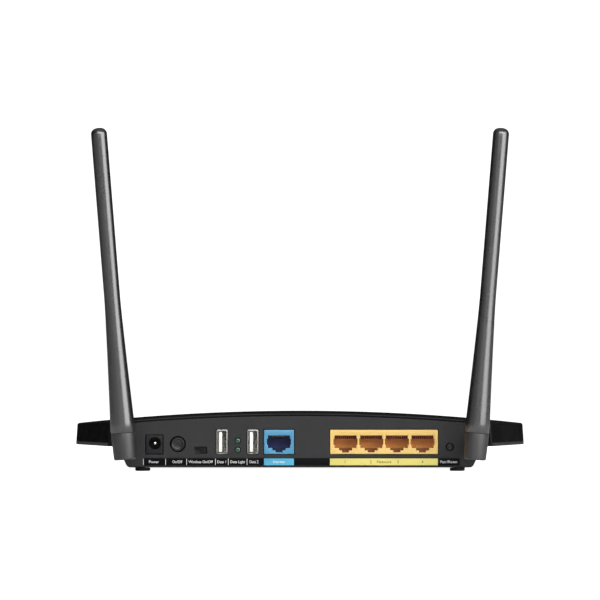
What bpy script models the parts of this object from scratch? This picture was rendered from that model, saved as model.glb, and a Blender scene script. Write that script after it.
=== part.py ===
# A desktop wireless router with two folding antennas, seen from its connector side.
#
# Frame: metres, +Z up, +X to the right when looking at the connectors, and +Y towards the
# router's front edge. The feet stand on z = 0, and the origin is under the middle of the whole
# object, antennas included. Distances "along" run forwards from the connector panel.

import math

import bmesh
import bpy
from mathutils import Matrix, Vector

MM = 0.001
GAP = 0.3 * MM  # left between pieces that touch, or that fit in each other

# Case
CASE_DEPTH = 160 * MM
WING_HALF = 124.4 * MM  # where the wing's straight edges would meet, before it is rounded
WING_ALONG = 45 * MM
CORNER_HALF = 104.4 * MM  # rear corner of the cover
FOOT_HEIGHT = 2.0 * MM
WALL = 2.0 * MM
TUB_WALL = 1.6 * MM
TUB_BACK = 2.4 * MM
FLANGE_BACK = 1.9 * MM
SPLIT_Z = 13.6 * MM  # lower edge of the cover's skirt
CROWN_Z = 32.3 * MM  # highest point of the cover
CROWN_ALONG = 30 * MM
CROWN_FALL_BACK = 0.2 * MM
CROWN_FALL_FRONT = 8.3 * MM
CROWN_ACROSS = 0.45  # fall of the cover per square metre of x
COVER_OVERHANG = 0.6 * MM  # past the panel
LIP = 1.6 * MM  # thickness of the cover's rear lip, above the panel
PANEL_THICK = 2.6 * MM
PANEL_REACH = 101.6 * MM

# Antennas
ANTENNA_X = 95 * MM
ANTENNA_Z = 14.5 * MM
ANTENNA_LEAN = math.radians(4.6)  # each whip leans outwards by this much at rest
PIN_REACH = 22 * MM  # fold axis, behind the panel
TIP = 172.2 * MM  # heights in an antenna are above its fold axis
SEAM = 6.9 * MM
YOKE_BOTTOM = -7.6 * MM
BASE_R = 6.6 * MM
YOKE_BOTTOM_R = 6.05 * MM
WHIP_R = 4.35 * MM
FLARE = (12 * MM, 80 * MM)
DOME = 3.4 * MM
TONGUE_HALF = 2.4 * MM
TONGUE_R = 4.5 * MM
AXLE_R = 2.2 * MM
SLEEVE_R = 5.5 * MM
THREAD_R = 3.175 * MM  # quarter-inch antenna thread

# The panel's outer face, placed so that the origin is the middle of the whole depth
PANEL_Y = (PIN_REACH + BASE_R - CASE_DEPTH) / 2

# Circuit board and its screws
BOARD_Z = 9.1 * MM  # its top
BOARD = {"half": 83 * MM, "back": 4.6 * MM, "front": 114 * MM, "thick": 1.6 * MM}
SEAT_Z = BOARD_Z + GAP
PILLAR_X = 78 * MM
PILLAR_ALONG = (30 * MM, 107 * MM)

# Sockets and controls: x and z are centres on the panel
POWER_JACK = {"x": -79.3 * MM, "half": 4.6 * MM, "top": 19.6 * MM, "hole": (-79.0 * MM, 15.2 * MM)}
POWER_BUTTON = {"x": -66.5 * MM, "z": 14.8 * MM, "r": 3.7 * MM, "hole_r": 4.35 * MM}
POWER_TRAVEL = 2.2 * MM
RADIO_SWITCH = {"x": -54.0 * MM, "z": 11.45 * MM, "half": 3.4 * MM, "half_high": 1.85 * MM}
RADIO_KNOB = 3.1 * MM
USB_X = {"left": -42.5 * MM, "right": -25.7 * MM}
USB_HALF = 2.95 * MM
USB_HIGH = 13.2 * MM
USB_LONG = 14 * MM
USB_LIGHT_X = -33.9 * MM
USB_LIGHT_Z = {"upper": 16.6 * MM, "lower": 11.6 * MM}
USB_LIGHT_R = 1.5 * MM
PORT_PITCH = 13.97 * MM  # standard pitch of ganged eight-contact sockets
PORT_TOP = 22.6 * MM
PORT_LONG = 16 * MM
PORT_CAVITY = 12.5 * MM
PORT_PROUD = 0.3 * MM
INTERNET = {"x": -11.45 * MM, "half": 8.15 * MM}
LAN = {"x": 45.7 * MM, "half": 29.35 * MM}
RESET = {"x": 81.5 * MM, "z": 13.2 * MM, "r": 1.8 * MM, "hole_r": 2.15 * MM}
RESET_TRAVEL = 0.8 * MM
LABEL = {"x": (-85.6 * MM, 87 * MM), "z": (3.0 * MM, 7.3 * MM), "deep": 0.6 * MM}

FOOT_R = 4.1 * MM
FEET = {"rear": (85.8 * MM, 9 * MM), "front": (70 * MM, 126 * MM)}
CASE_SCREWS = {"rear": (88 * MM, 34 * MM), "front": (50 * MM, 133 * MM)}
WINDOW = {"half": 42 * MM, "along": (144 * MM, 149 * MM)}
KEYHOLE_X = 62 * MM
KEYHOLE_ALONG = 72 * MM
KEYHOLE_R = 4.2 * MM
SIDES = {"left": -1, "right": 1}


# ---- small tools


def clear_scene():
    for old in list(bpy.data.objects):
        bpy.data.objects.remove(old)


def on_panel(along):
    return PANEL_Y + along


def finish(name, colour, roughness, metallic=0.0):
    """A Principled material, made once for each name."""
    made = bpy.data.materials.get(name)
    if made:
        return made
    made = bpy.data.materials.new(name)
    made.use_nodes = True
    shader = made.node_tree.nodes["Principled BSDF"]
    shader.inputs["Base Color"].default_value = (*colour, 1.0)
    shader.inputs["Roughness"].default_value = roughness
    shader.inputs["Metallic"].default_value = metallic
    return made


def add_object(name, shape, look, at=(0, 0, 0), parent=None, smooth=None):
    """Turns a bmesh into a named object with its own material."""
    bmesh.ops.recalc_face_normals(shape, faces=shape.faces[:])
    mesh = bpy.data.meshes.new(name)
    shape.to_mesh(mesh)
    shape.free()
    made = bpy.data.objects.new(name, mesh)
    bpy.context.scene.collection.objects.link(made)
    mesh.materials.append(look)
    made.parent = parent
    made.location = at
    if smooth:
        mesh.shade_smooth()
        mesh.set_sharp_from_angle(angle=math.radians(smooth))
    return made


def boolean(target, shape, operation, name):
    helper = add_object(name, shape, target.active_material, target.location, target.parent)
    helper.hide_render = True
    helper.display_type = "WIRE"
    step = target.modifiers.new(name, "BOOLEAN")
    step.operation = operation
    step.object = helper


def cut(target, shape, name):
    boolean(target, shape, "DIFFERENCE", name)


def join(target, shape, name):
    boolean(target, shape, "UNION", name)


def add_ring(shape, points):
    return [shape.verts.new(p) for p in points]


def bridge(shape, first, second):
    count = len(first)
    for i in range(count):
        j = (i + 1) % count
        shape.faces.new((first[i], first[j], second[j], second[i]))


def add_loft(shape, rings):
    """Adds a closed solid through rings that all have the same number of points."""
    made = [add_ring(shape, ring) for ring in rings]
    for first, second in zip(made, made[1:]):
        bridge(shape, first, second)
    shape.faces.new(made[0])
    shape.faces.new(made[-1])


def loft(rings):
    shape = bmesh.new()
    add_loft(shape, rings)
    return shape


def vessel(outer, inner):
    """A hollow shell, open at one end. Its outer and inner rings both start at the rim."""
    shape = bmesh.new()
    outside = [add_ring(shape, ring) for ring in outer]
    inside = [add_ring(shape, ring) for ring in inner]
    for rings in (outside, inside):
        for first, second in zip(rings, rings[1:]):
            bridge(shape, first, second)
        shape.faces.new(rings[-1])
    bridge(shape, outside[0], inside[0])
    return shape


def add_prism(shape, outline, axis, low, high):
    """Adds a prism. The outline's points are in the two directions across the axis, in order."""
    at = {
        "X": lambda a, b, c: (c, a, b),
        "Y": lambda a, b, c: (a, c, b),
        "Z": lambda a, b, c: (a, b, c),
    }[axis]
    add_loft(shape, [[at(a, b, c) for a, b in outline] for c in (low, high)])


def prism(outline, axis, low, high):
    shape = bmesh.new()
    add_prism(shape, outline, axis, low, high)
    return shape


def rectangle(a, b):
    return [(a[0], b[0]), (a[1], b[0]), (a[1], b[1]), (a[0], b[1])]


def add_block(shape, x, y, z):
    add_prism(shape, rectangle(x, y), "Z", *z)


def block(x, y, z):
    shape = bmesh.new()
    add_block(shape, x, y, z)
    return shape


def around(middle, half):
    return (middle - half, middle + half)


def spread(first, last, count):
    return [first + (last - first) * i / (count - 1) for i in range(count)]


def circle(a, b, radius, steps=24):
    angles = [2 * math.pi * i / steps for i in range(steps)]
    return [(a + radius * math.cos(t), b + radius * math.sin(t)) for t in angles]


def lifted(outline, height):
    return [(x, y, height) for x, y in outline]


def turned(profile, steps=20, axis="Z"):
    """A solid of revolution through (radius, height) pairs. On axis Y, heights run along +Y."""
    rings = [lifted(circle(0, 0, radius, steps), height) for radius, height in profile]
    shape = loft(rings)
    if axis == "Y":
        matrix = Matrix.Rotation(-math.pi / 2, 3, "X")
        bmesh.ops.rotate(shape, verts=shape.verts[:], matrix=matrix)
    return shape


def fillet(corners, i, steps):
    """The arc that rounds one (x, y, radius) corner of an outline."""
    x, y, radius = corners[i]
    here = Vector((x, y))
    back = (Vector(corners[i - 1][:2]) - here).normalized()
    ahead = (Vector(corners[(i + 1) % len(corners)][:2]) - here).normalized()
    half = back.angle(ahead) / 2
    centre = here + (back + ahead).normalized() * (radius / math.sin(half))
    start = here + back * (radius / math.tan(half)) - centre
    end = here + ahead * (radius / math.tan(half)) - centre
    first = math.atan2(start.y, start.x)
    sweep = (math.atan2(end.y, end.x) - first + math.pi) % (2 * math.pi) - math.pi
    angles = [first + sweep * k / steps for k in range(steps + 1)]
    return [centre + radius * Vector((math.cos(t), math.sin(t))) for t in angles]


def filleted(corners, steps=4, between=4):
    """An outline with rounded corners, and extra points along its straight edges."""
    arcs = [fillet(corners, i, steps) for i in range(len(corners))]
    points = []
    for arc, following in zip(arcs, arcs[1:] + arcs[:1]):
        edge = [arc[-1].lerp(following[0], k / (between + 1)) for k in range(1, between + 1)]
        points += arc + edge
    return [tuple(p) for p in points]


# ---- materials


def gloss_black():
    return finish("gloss_black", (0.012, 0.012, 0.014), 0.12)


def matt_black():
    return finish("matt_black", (0.038, 0.038, 0.041), 0.5)


def antenna_black():
    return finish("antenna_black", (0.032, 0.032, 0.034), 0.38)


def button_black():
    return finish("button_black", (0.02, 0.02, 0.022), 0.35)


def rubber():
    return finish("rubber", (0.02, 0.02, 0.02), 0.8)


def steel():
    return finish("steel", (0.62, 0.61, 0.58), 0.3, 1.0)


def gold_plate():
    return finish("gold_plate", (0.83, 0.6, 0.25), 0.3, 1.0)


def white_plastic():
    return finish("white_plastic", (0.82, 0.82, 0.8), 0.4)


def blue_plastic():
    return finish("blue_plastic", (0.08, 0.35, 0.68), 0.4)


def orange_plastic():
    return finish("orange_plastic", (0.93, 0.5, 0.1), 0.4)


def label_print():
    return finish("label_print", (0.02, 0.02, 0.02), 0.45)


def board_green():
    return finish("board_green", (0.02, 0.12, 0.05), 0.4)


def chip_black():
    return finish("chip_black", (0.025, 0.025, 0.025), 0.5)


def heat_sink_grey():
    return finish("heat_sink_grey", (0.5, 0.5, 0.52), 0.4, 1.0)


def lens_green():
    return finish("lens_green", (0.02, 0.16, 0.08), 0.2)


def smoked_plastic():
    return finish("smoked_plastic", (0.02, 0.02, 0.025), 0.08)


def clear_plastic():
    return finish("clear_plastic", (0.75, 0.78, 0.8), 0.15)


# ---- case


def crown(x, y):
    """Height of the cover's outer surface."""
    along = y - PANEL_Y - CROWN_ALONG
    reach, fall = CROWN_ALONG, CROWN_FALL_BACK
    if along > 0:
        reach, fall = CASE_DEPTH - CROWN_ALONG, CROWN_FALL_FRONT
    return CROWN_Z - fall * (along / reach) ** 2 - CROWN_ACROSS * x * x


def under_crown(outline, drop=0.0):
    return [(x, y, crown(x, y) - drop) for x, y in outline]


def mirrored(half):
    """A whole outline from the corners of its right half, given from the rear forwards."""
    corners = half + [(-x, y, radius) for x, y, radius in reversed(half)]
    return [(x, on_panel(y)) for x, y in filleted(corners)]


def case_outline(inset=0.0):
    """Plan of the cover: straight rear, swept wings, sides that draw in, and a bowed front."""
    return mirrored(
        [
            (CORNER_HALF - inset, inset - COVER_OVERHANG, 2.5 * MM),
            (WING_HALF - inset, WING_ALONG, 14 * MM),
            (100 * MM - inset, 146 * MM - inset, 26 * MM),
            (40 * MM, CASE_DEPTH - inset, 150 * MM),
        ]
    )


def flange_outline():
    """Plan of the lower case's floor under the wings, which fits inside the cover's skirt."""
    return mirrored(
        [
            (CORNER_HALF - WALL - 0.5 * MM, FLANGE_BACK, 2.5 * MM),
            (WING_HALF - WALL - 0.8 * MM, WING_ALONG, 14 * MM),
            (97 * MM, 143.4 * MM, 26 * MM),
            (40 * MM, CASE_DEPTH - WALL - 0.6 * MM, 150 * MM),
        ]
    )


def tub_outline(half, back, front, corner=2.5 * MM):
    """Plan of the lower case's hull at one height."""
    return mirrored(
        [
            (half, back, corner),
            (half, 70 * MM, 60 * MM),
            (half - 15 * MM, front - 12 * MM, 18 * MM),
            (40 * MM, front, 60 * MM),
        ]
    )


def side_profile():
    """(half width, height, front edge) down the lower case's side."""
    return [
        (101.3 * MM, SPLIT_Z, 150 * MM),
        (100.9 * MM, 11.6 * MM, 149 * MM),
        (96.4 * MM, 7.8 * MM, 146 * MM),
        (94.1 * MM, 3.2 * MM, 144 * MM),
        (93.2 * MM, FOOT_HEIGHT, 143 * MM),
    ]


def toward_centre(outline, share):
    middle = on_panel(75 * MM)
    return [(x * share, middle + (y - middle) * share) for x, y in outline]


def case_screw_places():
    for end, (x, along) in CASE_SCREWS.items():
        for side, sign in SIDES.items():
            yield f"{end}_{side}", sign * x, on_panel(along)


def pillar_places():
    for along in PILLAR_ALONG:
        for sign in SIDES.values():
            yield sign * PILLAR_X, on_panel(along)


def top_cover():
    shares = (0.88, 0.7, 0.45, 0.2)
    edge = case_outline(1.8 * MM)
    outer = [lifted(case_outline(), SPLIT_Z), under_crown(case_outline(0.7 * MM), 1.1 * MM)]
    outer += [under_crown(edge)] + [under_crown(toward_centre(edge, s)) for s in shares]
    inner_edge = case_outline(WALL + 0.8 * MM)
    inner = [lifted(case_outline(WALL), SPLIT_Z), under_crown(inner_edge, WALL)]
    inner += [under_crown(toward_centre(inner_edge, s), WALL) for s in shares]
    cover = add_object("top_cover", vessel(outer, inner), gloss_black(), smooth=30)
    join(cover, cover_bosses(), "cover_bosses")
    cut(cover, cover_openings(), "cover_openings")


def cover_bosses():
    """Screw bosses that reach down to the floor of the lower case."""
    shape = bmesh.new()
    for _, x, y in case_screw_places():
        low = FOOT_HEIGHT + TUB_WALL + GAP
        add_prism(shape, circle(x, y, 3.1 * MM, 12), "Z", low, crown(x, y) - WALL / 2)
    return shape


def cover_openings():
    shape = bmesh.new()
    reach = PANEL_REACH + GAP
    lip = [(x, crown(x, on_panel(0)) - LIP) for x in spread(reach, -reach, 17)]
    outline = [(-reach, 5 * MM), (reach, 5 * MM)] + lip
    add_prism(shape, outline, "Y", on_panel(-4 * MM), on_panel(PANEL_THICK + GAP))
    for x, y in vent_slots():
        add_block(shape, around(x, 7 * MM), around(y, 1 * MM), (20 * MM, 40 * MM))
    for _, x, y in case_screw_places():
        add_prism(shape, circle(x, y, 1.5 * MM, 8), "Z", 2 * MM, 14 * MM)
    across = around(0, WINDOW["half"] + GAP)
    back, front = (on_panel(a) for a in WINDOW["along"])
    add_block(shape, across, (back - GAP, front + GAP), (18 * MM, 40 * MM))
    return shape


def vent_slots():
    """Centres of the cover's slots: a gently bowed row of them on each side."""
    for i in range(13):
        along = (30 + 6 * i) * MM
        across = 76 * MM - 9 * MM * ((along - 45 * MM) / (75 * MM)) ** 2
        for sign in SIDES.values():
            yield sign * across, on_panel(along)


def status_light_window():
    """The smoked strip over the status lights, flush with the cover."""
    back, front = (on_panel(a) for a in WINDOW["along"])
    columns = spread(-WINDOW["half"], WINDOW["half"], 11)
    outline = [(x, back) for x in columns] + [(x, front) for x in reversed(columns)]
    rings = [under_crown(outline), under_crown(outline, WALL)]
    add_object("status_light_window", loft(rings), smoked_plastic())


def status_light_guide():
    """A clear bar that lies on the board's front edge and turns up to the window."""
    outline = [
        (104, 9.4),
        (144.0, 9.4),
        (146.2, 13),
        (146.2, 22.2),
        (143.6, 22.2),
        (143.6, 12),
        (104, 11.6),
    ]
    bar = prism([(on_panel(y * MM), z * MM) for y, z in outline], "X", -41 * MM, 41 * MM)
    add_object("status_light_guide", bar, clear_plastic())


def bottom_case():
    profile = side_profile()
    ledge = SPLIT_Z + 1.6 * MM
    outer = [lifted(flange_outline(), ledge), lifted(flange_outline(), SPLIT_Z)]
    outer += [lifted(tub_outline(half, TUB_BACK, front), z) for half, z, front in profile]
    levels = zip(profile, (ledge, 11.9 * MM, 8.2 * MM, FOOT_HEIGHT + TUB_WALL))
    inner = [
        lifted(tub_outline(half - TUB_WALL, TUB_BACK + TUB_WALL, front - TUB_WALL, 1 * MM), z)
        for (half, _, front), z in levels
    ]
    case = add_object("bottom_case", vessel(outer, inner), matt_black(), smooth=30)
    join(case, connector_panel(profile), "connector_panel")
    join(case, board_pillars(), "board_pillars")
    cut(case, panel_openings(), "panel_openings")
    cut(case, floor_openings(), "floor_openings")


def connector_panel(profile):
    """The flat rear wall, a little proud of the tub and arched under the cover's lip."""
    side = [(half + 0.3 * MM, z) for half, z, _ in reversed(profile)]
    side[0] = (side[0][0], FOOT_HEIGHT + 0.4 * MM)
    columns = spread(PANEL_REACH, -PANEL_REACH, 17)
    top = [(x, crown(x, on_panel(0)) - LIP - GAP) for x in columns]
    outline = side + top + [(-x, z) for x, z in reversed(side)]
    return prism(outline, "Y", on_panel(0), on_panel(PANEL_THICK))


def board_pillars():
    shape = bmesh.new()
    top = BOARD_Z - BOARD["thick"] - GAP
    for x, y in pillar_places():
        add_prism(shape, circle(x, y, 2.8 * MM, 12), "Z", FOOT_HEIGHT + 1 * MM, top)
    return shape


def panel_openings():
    shape = bmesh.new()
    through = (on_panel(-4 * MM), on_panel(6 * MM))
    jack = around(POWER_JACK["x"], POWER_JACK["half"] + GAP)
    add_prism(shape, rectangle(jack, (BOARD_Z, POWER_JACK["top"] + GAP)), "Y", *through)
    window = around(RADIO_SWITCH["x"], RADIO_SWITCH["half"])
    high = around(RADIO_SWITCH["z"], RADIO_SWITCH["half_high"])
    add_prism(shape, rectangle(window, high), "Y", *through)
    for x in USB_X.values():
        high = (BOARD_Z, SEAT_Z + USB_HIGH + GAP)
        add_prism(shape, rectangle(around(x, USB_HALF + GAP), high), "Y", *through)
    for socket in (INTERNET, LAN):
        across = around(socket["x"], socket["half"] + GAP)
        add_prism(shape, rectangle(across, (BOARD_Z, PORT_TOP + GAP)), "Y", *through)
    rounds = [(RESET["x"], RESET["z"], RESET["hole_r"])]
    rounds += [(POWER_BUTTON["x"], POWER_BUTTON["z"], POWER_BUTTON["hole_r"])]
    rounds += [(USB_LIGHT_X, z, USB_LIGHT_R + GAP) for z in USB_LIGHT_Z.values()]
    rounds += [(sign * ANTENNA_X, ANTENNA_Z, THREAD_R + GAP) for sign in SIDES.values()]
    for x, z, radius in rounds:
        add_prism(shape, circle(x, z, radius), "Y", *through)
    recess = rectangle(LABEL["x"], LABEL["z"])
    add_prism(shape, recess, "Y", through[0], on_panel(LABEL["deep"]))
    return shape


def floor_openings():
    """Cooling slots, the wall-hanging keyholes, and the holes of the case and board screws."""
    shape = bmesh.new()
    through = (-1 * MM, 6 * MM)
    for sign in SIDES.values():
        across = sorted((sign * 10 * MM, sign * 42 * MM))
        for i in range(9):
            add_block(shape, across, around(on_panel((44 + 6 * i) * MM), 1 * MM), through)
        add_prism(shape, keyhole(sign * KEYHOLE_X, on_panel(KEYHOLE_ALONG)), "Z", *through)
    for _, x, y in case_screw_places():
        add_prism(shape, circle(x, y, 1.9 * MM, 12), "Z", *through)
    for x, y in pillar_places():
        add_prism(shape, circle(x, y, 1.3 * MM, 8), "Z", 4 * MM, 9 * MM)
    return shape


def keyhole(x, y):
    """A round entry with a narrow neck, towards the front."""
    neck = 2.1 * MM
    start = math.acos(neck / KEYHOLE_R)
    angles = spread(math.pi - start, 2 * math.pi + start, 19)
    head = [(x + KEYHOLE_R * math.cos(t), y + KEYHOLE_R * math.sin(t)) for t in angles]
    return head + [(x + neck, y + 9 * MM), (x - neck, y + 9 * MM)]


def feet():
    high = FOOT_HEIGHT - GAP
    profile = [(FOOT_R, 0), (FOOT_R, high - 0.4 * MM), (FOOT_R - 0.4 * MM, high)]
    for end, (x, along) in FEET.items():
        for side, sign in SIDES.items():
            at = (sign * x, on_panel(along), 0)
            add_object(f"foot_{end}_{side}", turned(profile), rubber(), at, smooth=40)


def case_screws():
    """They come up from below into the cover's bosses."""
    shank = 1.2 * MM
    profile = [(3.0 * MM, -1.3 * MM), (3.2 * MM, -GAP), (shank, -GAP), (shank, 11 * MM)]
    for place, x, y in case_screw_places():
        at = (x, y, FOOT_HEIGHT)
        add_object(f"case_screw_{place}", turned(profile, 12), steel(), at, smooth=40)


def port_label_strip():
    x = (LABEL["x"][0] + GAP, LABEL["x"][1] - GAP)
    z = (LABEL["z"][0] + GAP, LABEL["z"][1] - GAP)
    deep = (on_panel(0), on_panel(LABEL["deep"] - GAP))
    add_object("port_label_strip", block(x, deep, z), label_print())


# ---- circuit board


def circuit_board():
    across = around(0, BOARD["half"])
    deep = (on_panel(BOARD["back"]), on_panel(BOARD["front"]))
    slab = block(across, deep, (BOARD_Z - BOARD["thick"], BOARD_Z))
    board = add_object("circuit_board", slab, board_green())
    holes = bmesh.new()
    for x, y in pillar_places():
        add_prism(holes, circle(x, y, 1.4 * MM, 12), "Z", 5 * MM, 12 * MM)
    cut(board, holes, "board_screw_holes")


def board_screws():
    """They go down through the board into its pillars."""
    profile = [(1.0 * MM, -4.2 * MM), (1.0 * MM, 0), (2.5 * MM, 0), (2.3 * MM, 1.2 * MM)]
    for i, (x, y) in enumerate(pillar_places()):
        at = (x, y, SEAT_Z)
        add_object(f"board_screw_{i + 1}", turned(profile, 12), steel(), at, smooth=40)


def board_part(name, across, along, high, look):
    """A boxy part on the board, from its edges in mm."""
    x = tuple(a * MM for a in across)
    y = tuple(on_panel(a * MM) for a in along)
    add_object(name, block(x, y, (SEAT_Z, SEAT_Z + high * MM)), look)


def board_parts():
    board_part("main_processor", (-14, 8), (54, 76), 1.6, chip_black())
    board_part("lan_transformer", (24, 66), (22, 34), 6, chip_black())
    board_part("radio_shield_can", (20, 66), (56, 100), 3.5, steel())
    capacitor = turned([(4 * MM, 0), (4 * MM, 10 * MM)], 16)
    at = (-62 * MM, on_panel(30 * MM), SEAT_Z)
    add_object("power_filter_capacitor", capacitor, chip_black(), at, smooth=40)


def heat_sink():
    """A finned plate on the processor."""
    low = SEAT_Z + 1.6 * MM + GAP
    plate, fin = low + 1.5 * MM, low + 8 * MM
    left, right = -18 * MM, 12 * MM
    thick, pitch = 1.2 * MM, 4.8 * MM
    outline = [(left, low), (right, low), (right, fin), (right - thick, fin)]
    for i in range(1, 7):
        edge = right - i * pitch
        outline += [(edge + pitch - thick, plate), (edge, plate), (edge, fin), (edge - thick, fin)]
    outline += [(edge - thick, plate), (left, plate)]
    shape = prism(outline, "Y", on_panel(50 * MM), on_panel(80 * MM))
    add_object("processor_heat_sink", shape, heat_sink_grey())


# ---- sockets and controls


def power_jack():
    x, z = POWER_JACK["hole"]
    across = around(POWER_JACK["x"], POWER_JACK["half"])
    housing = block(across, (on_panel(0.2 * MM), on_panel(14 * MM)), (SEAT_Z, POWER_JACK["top"]))
    jack = add_object("power_jack", housing, button_black())
    hole = prism(circle(x, z, 3.2 * MM), "Y", on_panel(-1 * MM), on_panel(9.5 * MM))
    cut(jack, hole, "power_jack_hole")
    profile = [(1.0 * MM, 0), (1.0 * MM, -7.0 * MM), (0.6 * MM, -7.6 * MM)]
    at = (x, on_panel(9.2 * MM), z)
    add_object("power_jack_pin", turned(profile, 16, "Y"), steel(), at, smooth=40)


def power_switch():
    """A latching push switch with a dished cap."""
    x, z, radius = POWER_BUTTON["x"], POWER_BUTTON["z"], POWER_BUTTON["r"]
    back = 4.6 * MM
    cap = [
        (radius, back),
        (radius, 0.3 * MM),
        (radius - 0.5 * MM, -0.3 * MM),
        (radius - 1.0 * MM, -0.1 * MM),
        (0.4 * MM, 0.5 * MM),
    ]
    at = (x, on_panel(0), z)
    add_object("power_button", turned(cap, 24, "Y"), button_black(), at, smooth=30)
    front = on_panel(back + POWER_TRAVEL + GAP)
    body = block(around(x, 4.2 * MM), (front, front + 9 * MM), (SEAT_Z, 18.6 * MM))
    add_object("power_switch_body", body, chip_black())


def wireless_switch():
    """A slide switch with a ribbed knob, shown at the right end of its window."""
    x, z = RADIO_SWITCH["x"], RADIO_SWITCH["z"]
    right = x + RADIO_SWITCH["half"] - GAP
    left = right - RADIO_KNOB
    face, groove, back = (on_panel(a * MM) for a in (0.2, 0.6, 4.0))
    rib = RADIO_KNOB / 7
    outline = [(left, back), (right, back), (right, face), (right - rib, face)]
    for i in range(1, 4):
        edge = right - 2 * i * rib
        outline += [(edge + rib, groove), (edge, groove), (edge, face), (edge - rib, face)]
    high = RADIO_SWITCH["half_high"] - GAP
    add_object("wireless_switch_knob", prism(outline, "Z", z - high, z + high), button_black())
    deep = (on_panel(4.4 * MM), on_panel(9 * MM))
    body = block(around(x, 4.6 * MM), deep, (SEAT_Z, SEAT_Z + 5 * MM))
    add_object("wireless_switch_body", body, chip_black())


def reset_switch():
    x, z, radius = RESET["x"], RESET["z"], RESET["r"]
    back = 5.2 * MM
    stem = [(radius, back), (radius, 0.7 * MM), (radius - 0.3 * MM, 0.4 * MM)]
    at = (x, on_panel(0), z)
    add_object("reset_button", turned(stem, 16, "Y"), button_black(), at, smooth=30)
    front = on_panel(back + RESET_TRAVEL + GAP)
    body = block((x - 3 * MM, x + 2.3 * MM), (front, front + 4 * MM), (SEAT_Z, 16 * MM))
    add_object("reset_switch_body", body, chip_black())


def usb_sockets():
    wall = 0.4 * MM
    front, back = on_panel(-0.5 * MM), on_panel(USB_LONG - 0.5 * MM)
    low, high = SEAT_Z, SEAT_Z + USB_HIGH
    for side, x in USB_X.items():
        sheet = block(around(x, USB_HALF), (front, back), (low, high))
        shell = add_object(f"usb_{side}_shell", sheet, steel())
        room = (front - 1 * MM, back - wall)
        hollow = block(around(x, USB_HALF - wall), room, (low + wall, high - wall))
        cut(shell, hollow, f"usb_{side}_hollow")
        usb_inside(side, x, back - wall - GAP, (low + high) / 2)


def usb_inside(side, x, back, z):
    """The insulator at the rear of the socket with its tongue, and the four contacts beside it."""
    rear = back - 2.4 * MM
    base = block(around(x, 2.15 * MM), (rear, back), around(z, 5.8 * MM))
    insulator = add_object(f"usb_{side}_tongue", base, white_plastic())
    long = (on_panel(0.6 * MM), back - 1 * MM)
    blade = block((x - 1.65 * MM, x + 0.1 * MM), long, around(z, 5.5 * MM))
    join(insulator, blade, f"usb_{side}_blade")
    face = x + 0.1 * MM + GAP
    rear -= GAP
    bar = block((face, face + 0.3 * MM), (rear - 1 * MM, rear), around(z, 4.4 * MM))
    contacts = add_object(f"usb_{side}_contacts", bar, gold_plate())
    fingers = bmesh.new()
    for offset in (-3.5, -1.0, 1.0, 3.5):
        high = around(z + offset * MM, 0.5 * MM)
        thick = around(face + 0.15 * MM, 0.12 * MM)
        add_block(fingers, thick, (on_panel(1.4 * MM), rear - 0.5 * MM), high)
    join(contacts, fingers, f"usb_{side}_fingers")


def usb_lights():
    radius = USB_LIGHT_R
    profile = [(radius, 6 * MM), (radius, 0.4 * MM), (0.75 * radius, 0), (0.3 * radius, -0.2 * MM)]
    for place, z in USB_LIGHT_Z.items():
        at = (USB_LIGHT_X, on_panel(0), z)
        add_object(f"usb_light_{place}", turned(profile, 16, "Y"), lens_green(), at, smooth=40)


def port_cavity(x):
    """The opening of one eight-contact socket: body, side notches, and the latch's two steps."""
    half = [
        (1.85, 10.3),
        (1.85, 11.4),
        (3.5, 11.4),
        (3.5, 12.7),
        (5.95, 12.7),
        (5.95, 14.4),
        (6.5, 14.4),
        (6.5, 17.7),
        (5.95, 17.7),
        (5.95, 20.0),
    ]
    right = [(x + a * MM, z * MM) for a, z in half]
    left = [(x - a * MM, z * MM) for a, z in reversed(half)]
    return right + left


def port_block(name, socket, look, centres):
    front = on_panel(-PORT_PROUD)
    across = around(socket["x"], socket["half"])
    body = block(across, (front, front + PORT_LONG), (SEAT_Z, PORT_TOP))
    made = add_object(name, body, look)
    cavities = bmesh.new()
    for x in centres:
        add_prism(cavities, port_cavity(x), "Y", front - 1 * MM, front + PORT_CAVITY)
    cut(made, cavities, f"{name}_cavities")


def port_contacts(name, x):
    """Eight spring contacts that slope down from the mouth, on one bar at the rear."""
    front = on_panel(-PORT_PROUD) + 1.8 * MM
    rear = on_panel(-PORT_PROUD) + PORT_CAVITY - GAP
    bar = block(around(x, 4.4 * MM), (rear - 1 * MM, rear), (17.3 * MM, 18.7 * MM))
    made = add_object(name, bar, gold_plate())
    end = rear - 0.5 * MM
    side = [(front, 19.6 * MM), (front, 19.2 * MM), (end, 17.5 * MM), (end, 18.0 * MM)]
    wires = bmesh.new()
    for i in range(8):
        middle = x + (i - 3.5) * 1.02 * MM
        add_prism(wires, side, "X", *around(middle, 0.23 * MM))
    join(made, wires, f"{name}_wires")


def network_sockets():
    port_block("internet_socket", INTERNET, blue_plastic(), [INTERNET["x"]])
    port_contacts("internet_contacts", INTERNET["x"])
    centres = [LAN["x"] + (i - 1.5) * PORT_PITCH for i in range(4)]
    port_block("lan_socket_block", LAN, orange_plastic(), centres)
    for i, x in enumerate(centres):
        port_contacts(f"lan_contacts_{i + 1}", x)


# ---- antennas: in an antenna's own axes, its fold axis runs along X through the origin


def antenna_jack(side, sign):
    """Threaded jack through the panel, with its shoulder inside the case."""
    profile = [
        (2.4 * MM, 11 * MM),
        (2.4 * MM, 6 * MM),
        (3.9 * MM, 6 * MM),
        (3.9 * MM, 4.4 * MM),
        (THREAD_R, 4.4 * MM),
        (THREAD_R, -9 * MM),
    ]
    at = (sign * ANTENNA_X, on_panel(0), ANTENNA_Z)
    add_object(f"{side}_antenna_jack", turned(profile, 20, "Y"), gold_plate(), at, smooth=40)


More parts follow.
